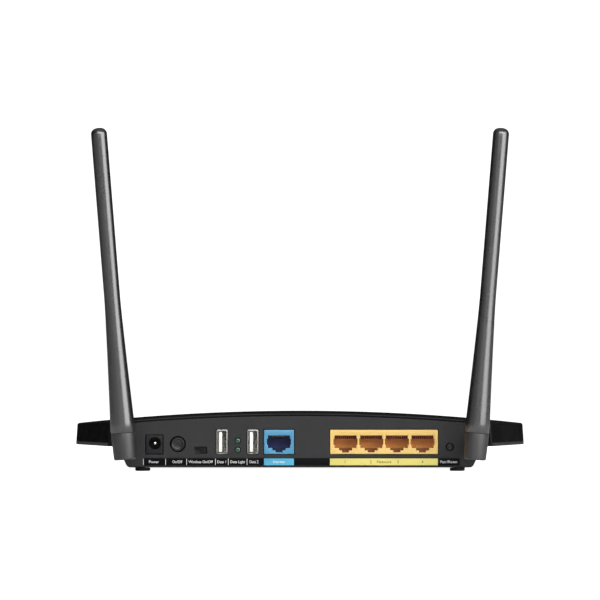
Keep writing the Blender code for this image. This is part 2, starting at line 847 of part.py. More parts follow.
def antenna_sleeve(side, sign):
    """Knurled coupling nut on the jack."""
    count = 48
    angles = [2 * math.pi * i / count for i in range(count)]
    radii = [SLEEVE_R - 0.35 * MM * (i % 2) for i in range(count)]
    knurl = [(r * math.cos(t), r * math.sin(t)) for r, t in zip(radii, angles)]
    at = (sign * ANTENNA_X, on_panel(0), ANTENNA_Z)
    solid = prism(knurl, "Y", -12.4 * MM, -0.6 * MM)
    sleeve = add_object(f"{side}_antenna_sleeve", solid, antenna_black(), at)
    bore = prism(circle(0, 0, THREAD_R + GAP, 20), "Y", -14 * MM, 1 * MM)
    cut(sleeve, bore, f"{side}_sleeve_bore")


def antenna_knuckle(side, joint):
    """Spigot in the sleeve, shoulder, and the tongue with the fold axle's two stubs."""
    shoulder = (8 * MM, 9.3 * MM)
    profile = [(THREAD_R, 12.4 * MM), (THREAD_R, shoulder[1])]
    profile += [(SLEEVE_R, shoulder[1]), (SLEEVE_R, shoulder[0])]
    look = antenna_black()
    solid = turned(profile, 20, "Y")
    knuckle = add_object(f"{side}_antenna_knuckle", solid, look, parent=joint, smooth=40)
    angles = spread(math.pi / 2, 3 * math.pi / 2, 11)
    end = [(TONGUE_R * math.cos(t), TONGUE_R * math.sin(t)) for t in angles]
    root = shoulder[0] + 0.5 * MM
    outline = [(root, TONGUE_R)] + end + [(root, -TONGUE_R)]
    join(knuckle, prism(outline, "X", -TONGUE_HALF, TONGUE_HALF), f"{side}_tongue")
    axle = prism(circle(0, 0, AXLE_R, 16), "X", -5.2 * MM, 5.2 * MM)
    join(knuckle, axle, f"{side}_fold_axle")


def antenna_yoke(side, joint):
    """Fork on the axle, slotted at the front and below, and rounded to clear the sleeve."""
    profile = [
        (YOKE_BOTTOM_R - 0.5 * MM, YOKE_BOTTOM),
        (YOKE_BOTTOM_R, YOKE_BOTTOM + 0.5 * MM),
        (BASE_R, SEAM),
        (4.9 * MM, SEAM),
        (4.9 * MM, SEAM + 7 * MM),
    ]
    look = antenna_black()
    yoke = add_object(f"{side}_antenna_yoke", turned(profile, 28), look, parent=joint, smooth=40)
    room = TONGUE_R + 0.4 * MM
    slot = block(around(0, TONGUE_HALF + GAP), (-room, 10 * MM), (-10 * MM, room))
    cut(yoke, slot, f"{side}_yoke_slot")
    sweep = 7.6 * MM
    arc = [(sweep * math.cos(t), sweep * math.sin(t)) for t in spread(0, -math.pi / 2, 9)]
    corner = arc + [(0, -12 * MM), (12 * MM, -12 * MM), (12 * MM, 0)]
    cut(yoke, prism(corner, "X", -9 * MM, 9 * MM), f"{side}_yoke_corner")
    bearing = prism(circle(0, 0, AXLE_R + GAP, 16), "X", -5.5 * MM, 5.5 * MM)
    cut(yoke, bearing, f"{side}_yoke_bearing")


def whip_radius(height):
    """Slim and straight above, and flared towards the yoke."""
    low, high = FLARE
    share = min(max((high - height) / (high - low), 0.0), 1.0)
    return WHIP_R + (BASE_R - WHIP_R) * share**1.3


def antenna_radome(side, joint):
    """Hollow whip with a domed tip, open at its foot."""
    thick = 1.2 * MM
    top = TIP - DOME
    heights = [SEAM + 0.2 * MM] + spread(FLARE[0], FLARE[1], 7)
    outer = [(whip_radius(z), z) for z in heights] + [(WHIP_R, top)]
    tilts = spread(0.3, 1.2, 4)
    outer += [(WHIP_R * math.cos(t), top + DOME * math.sin(t)) for t in tilts]
    outer.append((0.4 * MM, TIP))
    inner = [(whip_radius(z) - thick, z) for z in heights] + [(WHIP_R - thick, top - 2 * MM)]
    rings = [[lifted(circle(0, 0, r, 20), z) for r, z in profile] for profile in (outer, inner)]
    look = antenna_black()
    add_object(f"{side}_antenna_radome", vessel(*rings), look, parent=joint, smooth=40)


def antenna_radiator(side, joint):
    """Feed cable, dipole sleeve and wire, inside the radome."""
    profile = [(0.9, 14.4), (0.9, 62), (1.6, 62), (1.6, 100), (0.5, 100), (0.5, 150)]
    shape = turned([(r * MM, z * MM) for r, z in profile], 12)
    add_object(f"{side}_antenna_radiator", shape, gold_plate(), parent=joint, smooth=40)


def smooth_route(controls, count):
    """Points on the Bezier curve of these controls."""
    points = []
    for share in spread(0, 1, count):
        level = controls
        while len(level) > 1:
            level = [a.lerp(b, share) for a, b in zip(level, level[1:])]
        points.append(level[0])
    return points


def antenna_pigtail(side, sign):
    """Thin cable from the jack to the board, along one smooth curve."""
    route = [(95, 11.3, 14.5), (95, 16, 14.5), (84, 20, 13.5), (72, 30, 11.5), (70, 50, 10.4)]
    route.append((70, 60, 10.2))
    controls = [Vector((sign * x, along, z)) * MM for x, along, z in route]
    points = smooth_route(controls, 20)
    curve = bpy.data.curves.new(f"{side}_pigtail", "CURVE")
    curve.dimensions = "3D"
    curve.bevel_depth = 0.6 * MM
    curve.bevel_resolution = 2
    curve.use_fill_caps = True
    line = curve.splines.new("POLY")
    line.points.add(len(points) - 1)
    for point, place in zip(line.points, points):
        point.co = (place.x, on_panel(place.y), place.z, 1)
    curve.materials.append(chip_black())
    made = bpy.data.objects.new(f"{side}_antenna_pigtail", curve)
    bpy.context.scene.collection.objects.link(made)


def antenna(side, sign):
    antenna_jack(side, sign)
    antenna_sleeve(side, sign)
    antenna_pigtail(side, sign)
    joint = bpy.data.objects.new(f"{side}_antenna_axes", None)
    bpy.context.scene.collection.objects.link(joint)
    joint.location = (sign * ANTENNA_X, on_panel(-PIN_REACH), ANTENNA_Z)
    joint.rotation_euler = (0, sign * ANTENNA_LEAN, 0)
    antenna_knuckle(side, joint)
    antenna_yoke(side, joint)
    antenna_radome(side, joint)
    antenna_radiator(side, joint)


# ---- assembly

clear_scene()
top_cover()
status_light_window()
status_light_guide()
bottom_case()
feet()
case_screws()
port_label_strip()
circuit_board()
board_screws()
board_parts()
heat_sink()
power_jack()
power_switch()
wireless_switch()
reset_switch()
usb_sockets()
usb_lights()
network_sockets()
for antenna_side, antenna_sign in SIDES.items():
    antenna(antenna_side, antenna_sign)
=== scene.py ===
# Looks of the desktop router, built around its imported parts. All lengths are in metres.
import math

import bmesh
import bpy
import numpy as np
from mathutils import Matrix, Vector


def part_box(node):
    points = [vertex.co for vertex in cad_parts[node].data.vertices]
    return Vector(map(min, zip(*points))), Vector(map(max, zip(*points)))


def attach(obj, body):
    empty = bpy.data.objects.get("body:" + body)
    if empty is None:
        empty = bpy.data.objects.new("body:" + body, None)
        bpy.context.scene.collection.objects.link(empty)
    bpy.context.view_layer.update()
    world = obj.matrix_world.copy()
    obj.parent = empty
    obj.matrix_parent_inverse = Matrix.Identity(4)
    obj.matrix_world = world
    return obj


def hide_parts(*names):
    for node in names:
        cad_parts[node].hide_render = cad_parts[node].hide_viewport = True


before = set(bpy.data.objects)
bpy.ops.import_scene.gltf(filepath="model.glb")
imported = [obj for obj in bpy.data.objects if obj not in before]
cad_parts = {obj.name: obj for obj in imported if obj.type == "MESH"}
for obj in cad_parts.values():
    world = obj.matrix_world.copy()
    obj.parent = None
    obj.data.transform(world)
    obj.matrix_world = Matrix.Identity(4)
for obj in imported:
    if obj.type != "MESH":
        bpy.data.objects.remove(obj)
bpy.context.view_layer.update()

mm = 0.001
sides = {"left": -1, "right": 1}
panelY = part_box("bottom_case")[0].y  # the connector panel's outer face
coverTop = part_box("top_cover")[1].z


# Surfaces from arrays

def unit(vectors):
    return vectors / np.linalg.norm(vectors, axis=-1, keepdims=True)


def gridFaces(rows, columns):
    # the four corners of every cell, with the last column joined to the first
    i, j = np.meshgrid(np.arange(rows - 1), np.arange(columns), indexing="ij")
    k = (j + 1) % columns
    cells = [i * columns + j, i * columns + k, (i + 1) * columns + k, (i + 1) * columns + j]
    return np.stack(cells, -1).reshape(-1, 4)


def loft(rings, ends="flat"):
    # skin over a stack of closed rings; its ends are flat faces, fans to a pole, or joined to each other
    rows, columns = rings.shape[:2]
    points = rings.reshape(-1, 3)
    faces = gridFaces(rows, columns).tolist()
    j = np.arange(columns)
    k = (j + 1) % columns
    last = (rows - 1) * columns
    if ends == "joined":
        faces += np.stack([last + j, last + k, k, j], -1).tolist()
    elif ends == "flat":
        faces += [j.tolist(), (last + j).tolist()]
    else:
        poles = [rings[0].mean(0), rings[-1].mean(0)]
        points = np.vstack([points, poles])
        for start, pole in ((0, len(points) - 2), (last, len(points) - 1)):
            faces += np.stack([start + j, start + k, np.full(columns, pole)], -1).tolist()
    return points, faces


def merged(shapes):
    # several closed skins as one
    points, faces, start = [], [], 0
    for p, f in shapes:
        points.append(p)
        faces += [[index + start for index in face] for face in f]
        start += len(p)
    return np.vstack(points), faces


def roundedOutline(corners, arcSteps=16, edgeSteps=12):
    # closed plan outline: each corner (x, y, radius) becomes a true arc, joined by straight runs
    corners = np.array(corners, float)
    here, radius = corners[:, :2], corners[:, 2]
    back = unit(np.roll(here, 1, 0) - here)
    ahead = unit(np.roll(here, -1, 0) - here)
    half = np.arccos(np.clip((back * ahead).sum(1), -1, 1)) / 2
    centre = here + unit(back + ahead) * (radius / np.sin(half))[:, None]
    run = (radius / np.tan(half))[:, None]
    first, final = here + back * run - centre, here + ahead * run - centre
    start = np.arctan2(first[:, 1], first[:, 0])
    turn = (np.arctan2(final[:, 1], final[:, 0]) - start + np.pi) % (2 * np.pi) - np.pi
    angle = start[:, None] + turn[:, None] * np.linspace(0, 1, arcSteps + 1)
    arcs = centre[:, None] + radius[:, None, None] * np.stack([np.cos(angle), np.sin(angle)], -1)
    share = np.linspace(0, 1, edgeSteps + 2)[1:-1][:, None]
    edges = arcs[:, -1][:, None] * (1 - share) + np.roll(arcs[:, 0], -1, 0)[:, None] * share
    return np.concatenate([arcs, edges], 1).reshape(-1, 2)


def bothSides(rightHalf, **steps):
    mirrored = [(-x, y, radius) for x, y, radius in reversed(rightHalf)]
    return roundedOutline(rightHalf + mirrored, **steps)


def roundedBox(halfX, halfZ, radius, arcSteps=6, x=0.0, z=0.0):
    # rectangle with round corners, about (x, z)
    corners = [(halfX, -halfZ, radius), (halfX, halfZ, radius), (-halfX, halfZ, radius),
               (-halfX, -halfZ, radius)]
    return roundedOutline(corners, arcSteps, 0) + (x, z)


def circle(radius, steps=48, x=0.0, z=0.0):
    angle = np.linspace(0, 2 * np.pi, steps, endpoint=False)
    return np.stack([x + radius * np.cos(angle), z + radius * np.sin(angle)], -1)


def grown(outline, distance):
    # moves every edge of a closed outline outwards by the same distance
    ahead = unit(np.roll(outline, -1, 0) - outline)
    back = np.roll(ahead, 1, 0)
    area = (outline[:, 0] * np.roll(outline[:, 1], -1) - outline[:, 1] * np.roll(outline[:, 0], -1)).sum()
    out = np.array([[0, -1], [1, 0]]) * np.sign(area)
    a, b = ahead @ out, back @ out
    return outline + distance * (a + b) / (1 + (a * b).sum(1, keepdims=True))


def softened(points, cut, steps=4):
    # open line with each inner corner replaced by a short curve that starts and ends "cut" away from it
    points = np.array(points, float)
    inner = points[1:-1]
    toBack, toAhead = points[:-2] - inner, points[2:] - inner
    reach = np.minimum(cut, 0.45 * np.minimum(np.linalg.norm(toBack, axis=1),
                                              np.linalg.norm(toAhead, axis=1)))
    a = inner + unit(toBack) * reach[:, None]
    b = inner + unit(toAhead) * reach[:, None]
    t = np.linspace(0, 1, steps + 1)[:, None]
    bends = (1 - t) ** 2 * a[:, None] + 2 * t * (1 - t) * inner[:, None] + t ** 2 * b[:, None]
    return np.vstack([points[:1], bends.reshape(-1, points.shape[1]), points[-1:]])


def turned(profile, steps=64, axis="Z"):
    # (radius, height) pairs carried round an axis; on axis Y the heights run along +Y
    profile = np.array(profile, float)
    angle = np.linspace(0, 2 * np.pi, steps, endpoint=False)
    a = profile[:, :1] * np.cos(angle)
    b = profile[:, :1] * np.sin(angle)
    h = np.repeat(profile[:, 1:], steps, 1)
    return loft(np.stack([a, b, h] if axis == "Z" else [a, h, b], -1), "fan")


def stacked(outlines, places, axis="Y"):
    # closed outlines set one behind another along an axis
    rings = [np.insert(o, {"X": 0, "Y": 1, "Z": 2}[axis], p, 1) for o, p in zip(outlines, places)]
    return loft(np.array(rings))


def prism(outline, low, high, axis="Y", soft=0.0, steps=3):
    # straight prism whose two ends are rounded over by "soft"
    if not soft:
        return stacked([outline, outline], [low, high], axis)
    angle = np.linspace(0, np.pi / 2, steps + 1)
    shrink, sink = soft * (1 - np.sin(angle)), soft * (1 - np.cos(angle))
    places = [low + s for s in sink] + [high - s for s in sink[::-1]]
    shapes = [grown(outline, -s) for s in shrink] + [grown(outline, -s) for s in shrink[::-1]]
    return stacked(shapes, places, axis)


def mouth(outline, flare, depth, face):
    # cutter for an opening in the panel with a slightly flared edge
    outlines = [grown(outline, flare), grown(outline, flare), grown(outline, 0.35 * flare), outline, outline]
    places = [face - 1 * mm, face, face + 0.35 * flare, face + flare, face + depth]
    return stacked(outlines, places)


def placed(shape, matrix=None, at=(0, 0, 0)):
    points, faces = shape
    if matrix is not None:
        points = points @ np.array(matrix.to_3x3()).T + np.array(matrix.translation)
    return points + np.array(at), faces


# From arrays to pieces

def makeObject(name, shape):
    points, faces = shape
    mesh = bpy.data.meshes.new(name)
    mesh.from_pydata(points.tolist(), [], faces)
    piece = bpy.data.objects.new(name, mesh)
    bpy.context.scene.collection.objects.link(piece)
    tidyMesh(mesh)
    return piece


def tidyMesh(mesh):
    # closes seams and poles, and turns every face outwards
    shape = bmesh.new()
    shape.from_mesh(mesh)
    bmesh.ops.remove_doubles(shape, verts=shape.verts, dist=1e-7)
    bmesh.ops.dissolve_degenerate(shape, edges=shape.edges, dist=1e-7)
    bmesh.ops.recalc_face_normals(shape, faces=shape.faces)
    shape.to_mesh(mesh)
    shape.free()


def applyModifiers(piece):
    graph = bpy.context.evaluated_depsgraph_get()
    final = bpy.data.meshes.new_from_object(piece.evaluated_get(graph))
    piece.modifiers.clear()
    rough, piece.data = piece.data, final
    bpy.data.meshes.remove(rough)


def addPiece(name, shape, finish, body="case", stands=(), crease=35, steps=()):
    # steps are Booleans in order: (operation, shape)
    piece = makeObject(name, shape)
    helpers = []
    for operation, other in steps:
        helper = makeObject(name + "Helper", other)
        step = piece.modifiers.new(operation, "BOOLEAN")
        step.operation, step.object = operation, helper
        helpers.append(helper)
    if steps:
        applyModifiers(piece)
        tidyMesh(piece.data)
    for helper in helpers:
        bpy.data.objects.remove(helper)
    piece.data.materials.clear()
    piece.data.materials.append(finish)
    piece.data.shade_smooth()
    piece.data.set_sharp_from_angle(angle=math.radians(crease))
    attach(piece, body)
    if stands:
        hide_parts(*stands)
    return piece


# Shader groups and finishes

def node(tree, kind, inputs=None, **settings):
    made = tree.nodes.new(kind)
    for key, value in settings.items():
        setattr(made, key, value)
    for key, value in (inputs or {}).items():
        if isinstance(value, bpy.types.NodeSocket):
            tree.links.new(value, made.inputs[key])
        else:
            made.inputs[key].default_value = value
    return made


def maths(tree, operation, a, b=0.0, clamp=False):
    return node(tree, "ShaderNodeMath", {0: a, 1: b}, operation=operation, use_clamp=clamp).outputs[0]


def makeGroup(name, inputs, outputs):
    # inputs: {name: default}; outputs: {name: kind}
    tree = bpy.data.node_groups.new(name, "ShaderNodeTree")
    for key, value in inputs.items():
        socket = tree.interface.new_socket(key, in_out="INPUT", socket_type="NodeSocketFloat")
        socket.default_value = value
    for key, kind in outputs.items():
        tree.interface.new_socket(key, in_out="OUTPUT", socket_type=kind)
    return tree, tree.nodes.new("NodeGroupInput").outputs, tree.nodes.new("NodeGroupOutput").inputs


def objectPoint(tree):
    return node(tree, "ShaderNodeTexCoord").outputs["Object"]


def makeGrainGroup():
    # fine spark-eroded grain, and a broad unevenness in tone
    tree, given, out = makeGroup(
        "mouldedGrain", {"Size": 4000.0, "Depth": 1.0}, {"Height": "NodeSocketFloat",
                                                         "Tone": "NodeSocketFloat"}
    )
    point = objectPoint(tree)
    fine = node(tree, "ShaderNodeTexNoise", {"Vector": point, "Scale": given["Size"], "Detail": 3.0,
                                             "Roughness": 0.6})
    cell = node(tree, "ShaderNodeTexVoronoi", {"Vector": point,
                                               "Scale": maths(tree, "MULTIPLY", given["Size"], 0.7)})
    height = maths(tree, "ADD", fine.outputs["Fac"], maths(tree, "MULTIPLY", cell.outputs["Distance"], 0.6))
    tree.links.new(maths(tree, "MULTIPLY", height, given["Depth"]), out["Height"])
    broad = node(tree, "ShaderNodeTexNoise", {"Vector": point, "Scale": 60.0, "Detail": 4.0})
    specks = maths(tree, "MULTIPLY", maths(tree, "SUBTRACT", fine.outputs["Fac"], 0.5), 0.8)
    tree.links.new(maths(tree, "ADD", broad.outputs["Fac"], specks, True), out["Tone"])
    return tree


def makeWipeGroup():
    # faint wipe marks on gloss, as long soft streaks
    tree, given, out = makeGroup("wipeMarks", {"Amount": 0.1}, {"Roughness": "NodeSocketFloat"})
    bent = node(tree, "ShaderNodeMapping", {"Vector": objectPoint(tree), "Scale": (18, 55, 30),
                                            "Rotation": (0, 0, 0.5)})
    streak = node(tree, "ShaderNodeTexNoise", {"Vector": bent.outputs[0], "Scale": 1.0, "Detail": 6.0,
                                               "Distortion": 0.6})
    mark = node(tree, "ShaderNodeMapRange", {"Value": streak.outputs["Fac"], "From Min": 0.45,
                                             "From Max": 0.8})
    tree.links.new(maths(tree, "MULTIPLY", mark.outputs[0], given["Amount"]), out["Roughness"])
    return tree


def makeDustGroup():
    # sparse pale dust that settles on faces turned up
    tree, given, out = makeGroup("settledDust", {"Amount": 0.2}, {"Mask": "NodeSocketFloat"})
    normal = node(tree, "ShaderNodeSeparateXYZ", {0: node(tree, "ShaderNodeNewGeometry").outputs["Normal"]})
    upward = node(tree, "ShaderNodeMapRange", {"Value": normal.outputs["Z"], "From Min": 0.3,
                                               "From Max": 1.0})
    point = objectPoint(tree)
    speck = node(tree, "ShaderNodeTexNoise", {"Vector": point, "Scale": 1800.0, "Detail": 2.0})
    patch = node(tree, "ShaderNodeTexNoise", {"Vector": point, "Scale": 35.0, "Detail": 3.0})
    sharp = node(tree, "ShaderNodeMapRange", {"Value": speck.outputs["Fac"], "From Min": 0.6,
                                              "From Max": 0.75})
    mask = maths(tree, "MULTIPLY", sharp.outputs[0],
                 maths(tree, "MULTIPLY", upward.outputs[0], patch.outputs["Fac"]))
    tree.links.new(maths(tree, "MULTIPLY", mask, given["Amount"], True), out["Mask"])
    return tree


def makeBrushGroup():
    # fine parallel drawing lines in sheet metal
    tree, given, out = makeGroup(
        "drawnLines", {"Size": 900.0}, {"Height": "NodeSocketFloat", "Tone": "NodeSocketFloat"}
    )
    long = node(tree, "ShaderNodeMapping", {"Vector": objectPoint(tree), "Scale": (1.0, 0.04, 1.0)})
    line = node(tree, "ShaderNodeTexNoise", {"Vector": long.outputs[0], "Scale": given["Size"],
                                             "Detail": 4.0})
    cloud = node(tree, "ShaderNodeTexNoise", {"Vector": objectPoint(tree), "Scale": 140.0, "Detail": 3.0})
    tree.links.new(line.outputs["Fac"], out["Height"])
    tree.links.new(maths(tree, "MULTIPLY", line.outputs["Fac"], cloud.outputs["Fac"]), out["Tone"])
    return tree


def makeDepthShadeGroup():
    # share of the way into a socket, from its face towards its rear, which drives painted light and shade by
    # depth, and a mask of painted shade over its comb and latch notch
    tree, given, out = makeGroup("socketDepthShade", {"Start": 0.0, "Length": 0.01, "Comb": 0.017, "Latch": 0.012},
                                 {"Share": "NodeSocketFloat", "Comb": "NodeSocketFloat"})
    place = node(tree, "ShaderNodeSeparateXYZ", {0: objectPoint(tree)})
    into = maths(tree, "SUBTRACT", place.outputs["Y"], given["Start"])
    tree.links.new(maths(tree, "DIVIDE", into, given["Length"], True), out["Share"])
    inside = maths(tree, "GREATER_THAN", into, 0.4 * mm)
    above = maths(tree, "DIVIDE", maths(tree, "SUBTRACT", place.outputs["Z"], given["Comb"]), 0.3 * mm, True)
    below = maths(tree, "DIVIDE", maths(tree, "SUBTRACT", given["Latch"], place.outputs["Z"]), 0.6 * mm, True)
    dark = maths(tree, "MAXIMUM", above, maths(tree, "MULTIPLY", below, 0.75))
    tree.links.new(maths(tree, "MULTIPLY", inside, dark), out["Comb"])
    return tree


groups = {
    "grain": makeGrainGroup(),
    "wipe": makeWipeGroup(),
    "dust": makeDustGroup(),
    "brush": makeBrushGroup(),
    "depth": makeDepthShadeGroup(),
}


def useGroup(tree, name, **inputs):
    made = node(tree, "ShaderNodeGroup", node_tree=groups[name])
    for key, value in inputs.items():
        made.inputs[key].default_value = value
    return made.outputs


def mixed(tree, share, first, second):
    made = node(tree, "ShaderNodeMix", data_type="RGBA")
    for index, value in ((0, share), (6, first), (7, second)):
        if isinstance(value, bpy.types.NodeSocket):
            tree.links.new(value, made.inputs[index])
        else:
            made.inputs[index].default_value = (*value, 1.0) if index else value
    return made.outputs[2]


def makeMaterial(name, **constants):
    made = bpy.data.materials.new(name)
    made.use_nodes = True
    shader = made.node_tree.nodes["Principled BSDF"]
    for key, value in constants.items():
        shader.inputs[key.replace("_", " ")].default_value = value
    return made, made.node_tree, shader


def addBump(tree, shader, height, distance, strength=1.0):
    bump = node(tree, "ShaderNodeBump", {"Height": height, "Distance": distance, "Strength": strength})
    tree.links.new(bump.outputs[0], shader.inputs["Normal"])


def plastic(name, dark, light, roughness, spread=0.12, grain=4000.0, depth=0.02 * mm, dust=0.1, wipe=0.0,
            **constants):
    # moulded plastic: tone and roughness wander with the grain, dust lies on top
    made, tree, shader = makeMaterial(name, **constants)
    skin = useGroup(tree, "grain", Size=grain)
    settled = useGroup(tree, "dust", Amount=dust)["Mask"]
    colour = mixed(tree, skin["Tone"], dark, light)
    tree.links.new(mixed(tree, settled, colour, (0.45, 0.44, 0.42)), shader.inputs["Base Color"])
    rough = maths(tree, "ADD", maths(tree, "MULTIPLY", skin["Tone"], spread), roughness - spread / 2)
    if wipe:
        rough = maths(tree, "ADD", rough, useGroup(tree, "wipe", Amount=wipe)["Roughness"])
    rough = maths(tree, "ADD", rough, maths(tree, "MULTIPLY", settled, 0.5), True)
    tree.links.new(rough, shader.inputs["Roughness"])
    addBump(tree, shader, skin["Height"], depth)
    return made


def metal(name, dark, light, roughness, lines=900.0, depth=0.004 * mm):
    # drawn or plated metal with fine lines
    made, tree, shader = makeMaterial(name, Metallic=1.0)
    skin = useGroup(tree, "brush", Size=lines)
    tree.links.new(mixed(tree, skin["Tone"], dark, light), shader.inputs["Base Color"])
    rough = maths(tree, "ADD", maths(tree, "MULTIPLY", skin["Tone"], 0.2), roughness - 0.05, True)
    tree.links.new(rough, shader.inputs["Roughness"])
    addBump(tree, shader, skin["Height"], depth)
    return made


def socketPlasticPaintedLightShade(name, face, inside, deep, comb, roughness):
    # coloured nylon with painted light and shade: its colour turns from the face colour to a painted tone
    # just inside, then deepens to painted shade on the way into the socket, with painted shadow over the comb
    # and latch notch
    made, tree, shader = makeMaterial(name)
    skin = useGroup(tree, "grain", Size=3000.0)
    # masks by depth and by height; the colour ramp below paints light and shade by depth, not the nylon's own
    # colour
    depth = useGroup(tree, "depth", Start=panelY - 0.1 * mm, Length=12 * mm, Comb=17.2 * mm, Latch=12.7 * mm)
    ramp = node(tree, "ShaderNodeValToRGB", {"Fac": depth["Share"]})
    stops = ramp.color_ramp.elements
    stops[0].position, stops[0].color = 0.0, (*face, 1)
    stops[1].position, stops[1].color = 1.0, (*deep, 1)
    stops.new(0.07).color = (*inside, 1)
    # comb colour: painted shadow laid over the comb teeth and the latch notch
    shaded = mixed(tree, depth["Comb"], ramp.outputs[0], comb)
    tone = mixed(tree, skin["Tone"], (0.9, 0.9, 0.9), (1.0, 1.0, 1.0))
    colour = node(tree, "ShaderNodeMix", {0: 1.0, 6: shaded, 7: tone}, data_type="RGBA",
                  blend_type="MULTIPLY")
    tree.links.new(colour.outputs[2], shader.inputs["Base Color"])
    rough = maths(tree, "ADD", maths(tree, "MULTIPLY", skin["Tone"], 0.1), roughness - 0.05)
    tree.links.new(rough, shader.inputs["Roughness"])
    addBump(tree, shader, skin["Height"], 0.008 * mm)
    return made


def makeBoardFinish():
    # green solder mask over a maze of copper tracks, with pale pads
    made, tree, shader = makeMaterial("boardMask", Coat_Weight=0.3)
    point = objectPoint(tree)
    tracks = node(tree, "ShaderNodeTexBrick", {"Vector": point, "Scale": 260.0, "Mortar Size": 0.06},
                  offset=0.37)
    tracks.inputs["Color1"].default_value = (0.012, 0.09, 0.035, 1)
    tracks.inputs["Color2"].default_value = (0.016, 0.12, 0.045, 1)
    tracks.inputs["Mortar"].default_value = (0.03, 0.2, 0.08, 1)
    pads = node(tree, "ShaderNodeTexVoronoi", {"Vector": point, "Scale": 320.0})
    spot = node(tree, "ShaderNodeMapRange", {"Value": pads.outputs["Distance"], "From Min": 0.16,
                                             "From Max": 0.13})
    colour = mixed(tree, spot.outputs[0], tracks.outputs["Color"], (0.6, 0.58, 0.5))
    tree.links.new(colour, shader.inputs["Base Color"])
    rough = maths(tree, "ADD", maths(tree, "MULTIPLY", useGroup(tree, "grain")["Tone"], 0.2), 0.25)
    tree.links.new(rough, shader.inputs["Roughness"])
    addBump(tree, shader, tracks.outputs["Fac"], 0.03 * mm)
    return made


def makeLensFinish():
    # dark green tinted lens, paler towards its heart
    made, tree, shader = makeMaterial("lensGreen", Coat_Weight=0.6, Coat_Roughness=0.05, IOR=1.5)
    facing = node(tree, "ShaderNodeLayerWeight", {"Blend": 0.35}).outputs["Facing"]
    cloud = useGroup(tree, "grain", Size=900.0)["Tone"]
    inner = mixed(tree, cloud, (0.009, 0.045, 0.026), (0.014, 0.07, 0.042))
    tree.links.new(mixed(tree, facing, inner, (0.008, 0.05, 0.026)), shader.inputs["Base Color"])
    tree.links.new(maths(tree, "ADD", maths(tree, "MULTIPLY", cloud, 0.1), 0.12), shader.inputs["Roughness"])
    return made


def makeFilmFinish(name, dark, light):
    # printed film: slight orange peel and faint ink mottle
    made, tree, shader = makeMaterial(name, Specular_IOR_Level=0.06)
    skin = useGroup(tree, "grain", Size=700.0)
    tree.links.new(mixed(tree, skin["Tone"], dark, light), shader.inputs["Base Color"])
    tree.links.new(maths(tree, "ADD", maths(tree, "MULTIPLY", skin["Tone"], 0.12), 0.38),
                   shader.inputs["Roughness"])
    addBump(tree, shader, skin["Height"], 0.006 * mm)
    return made


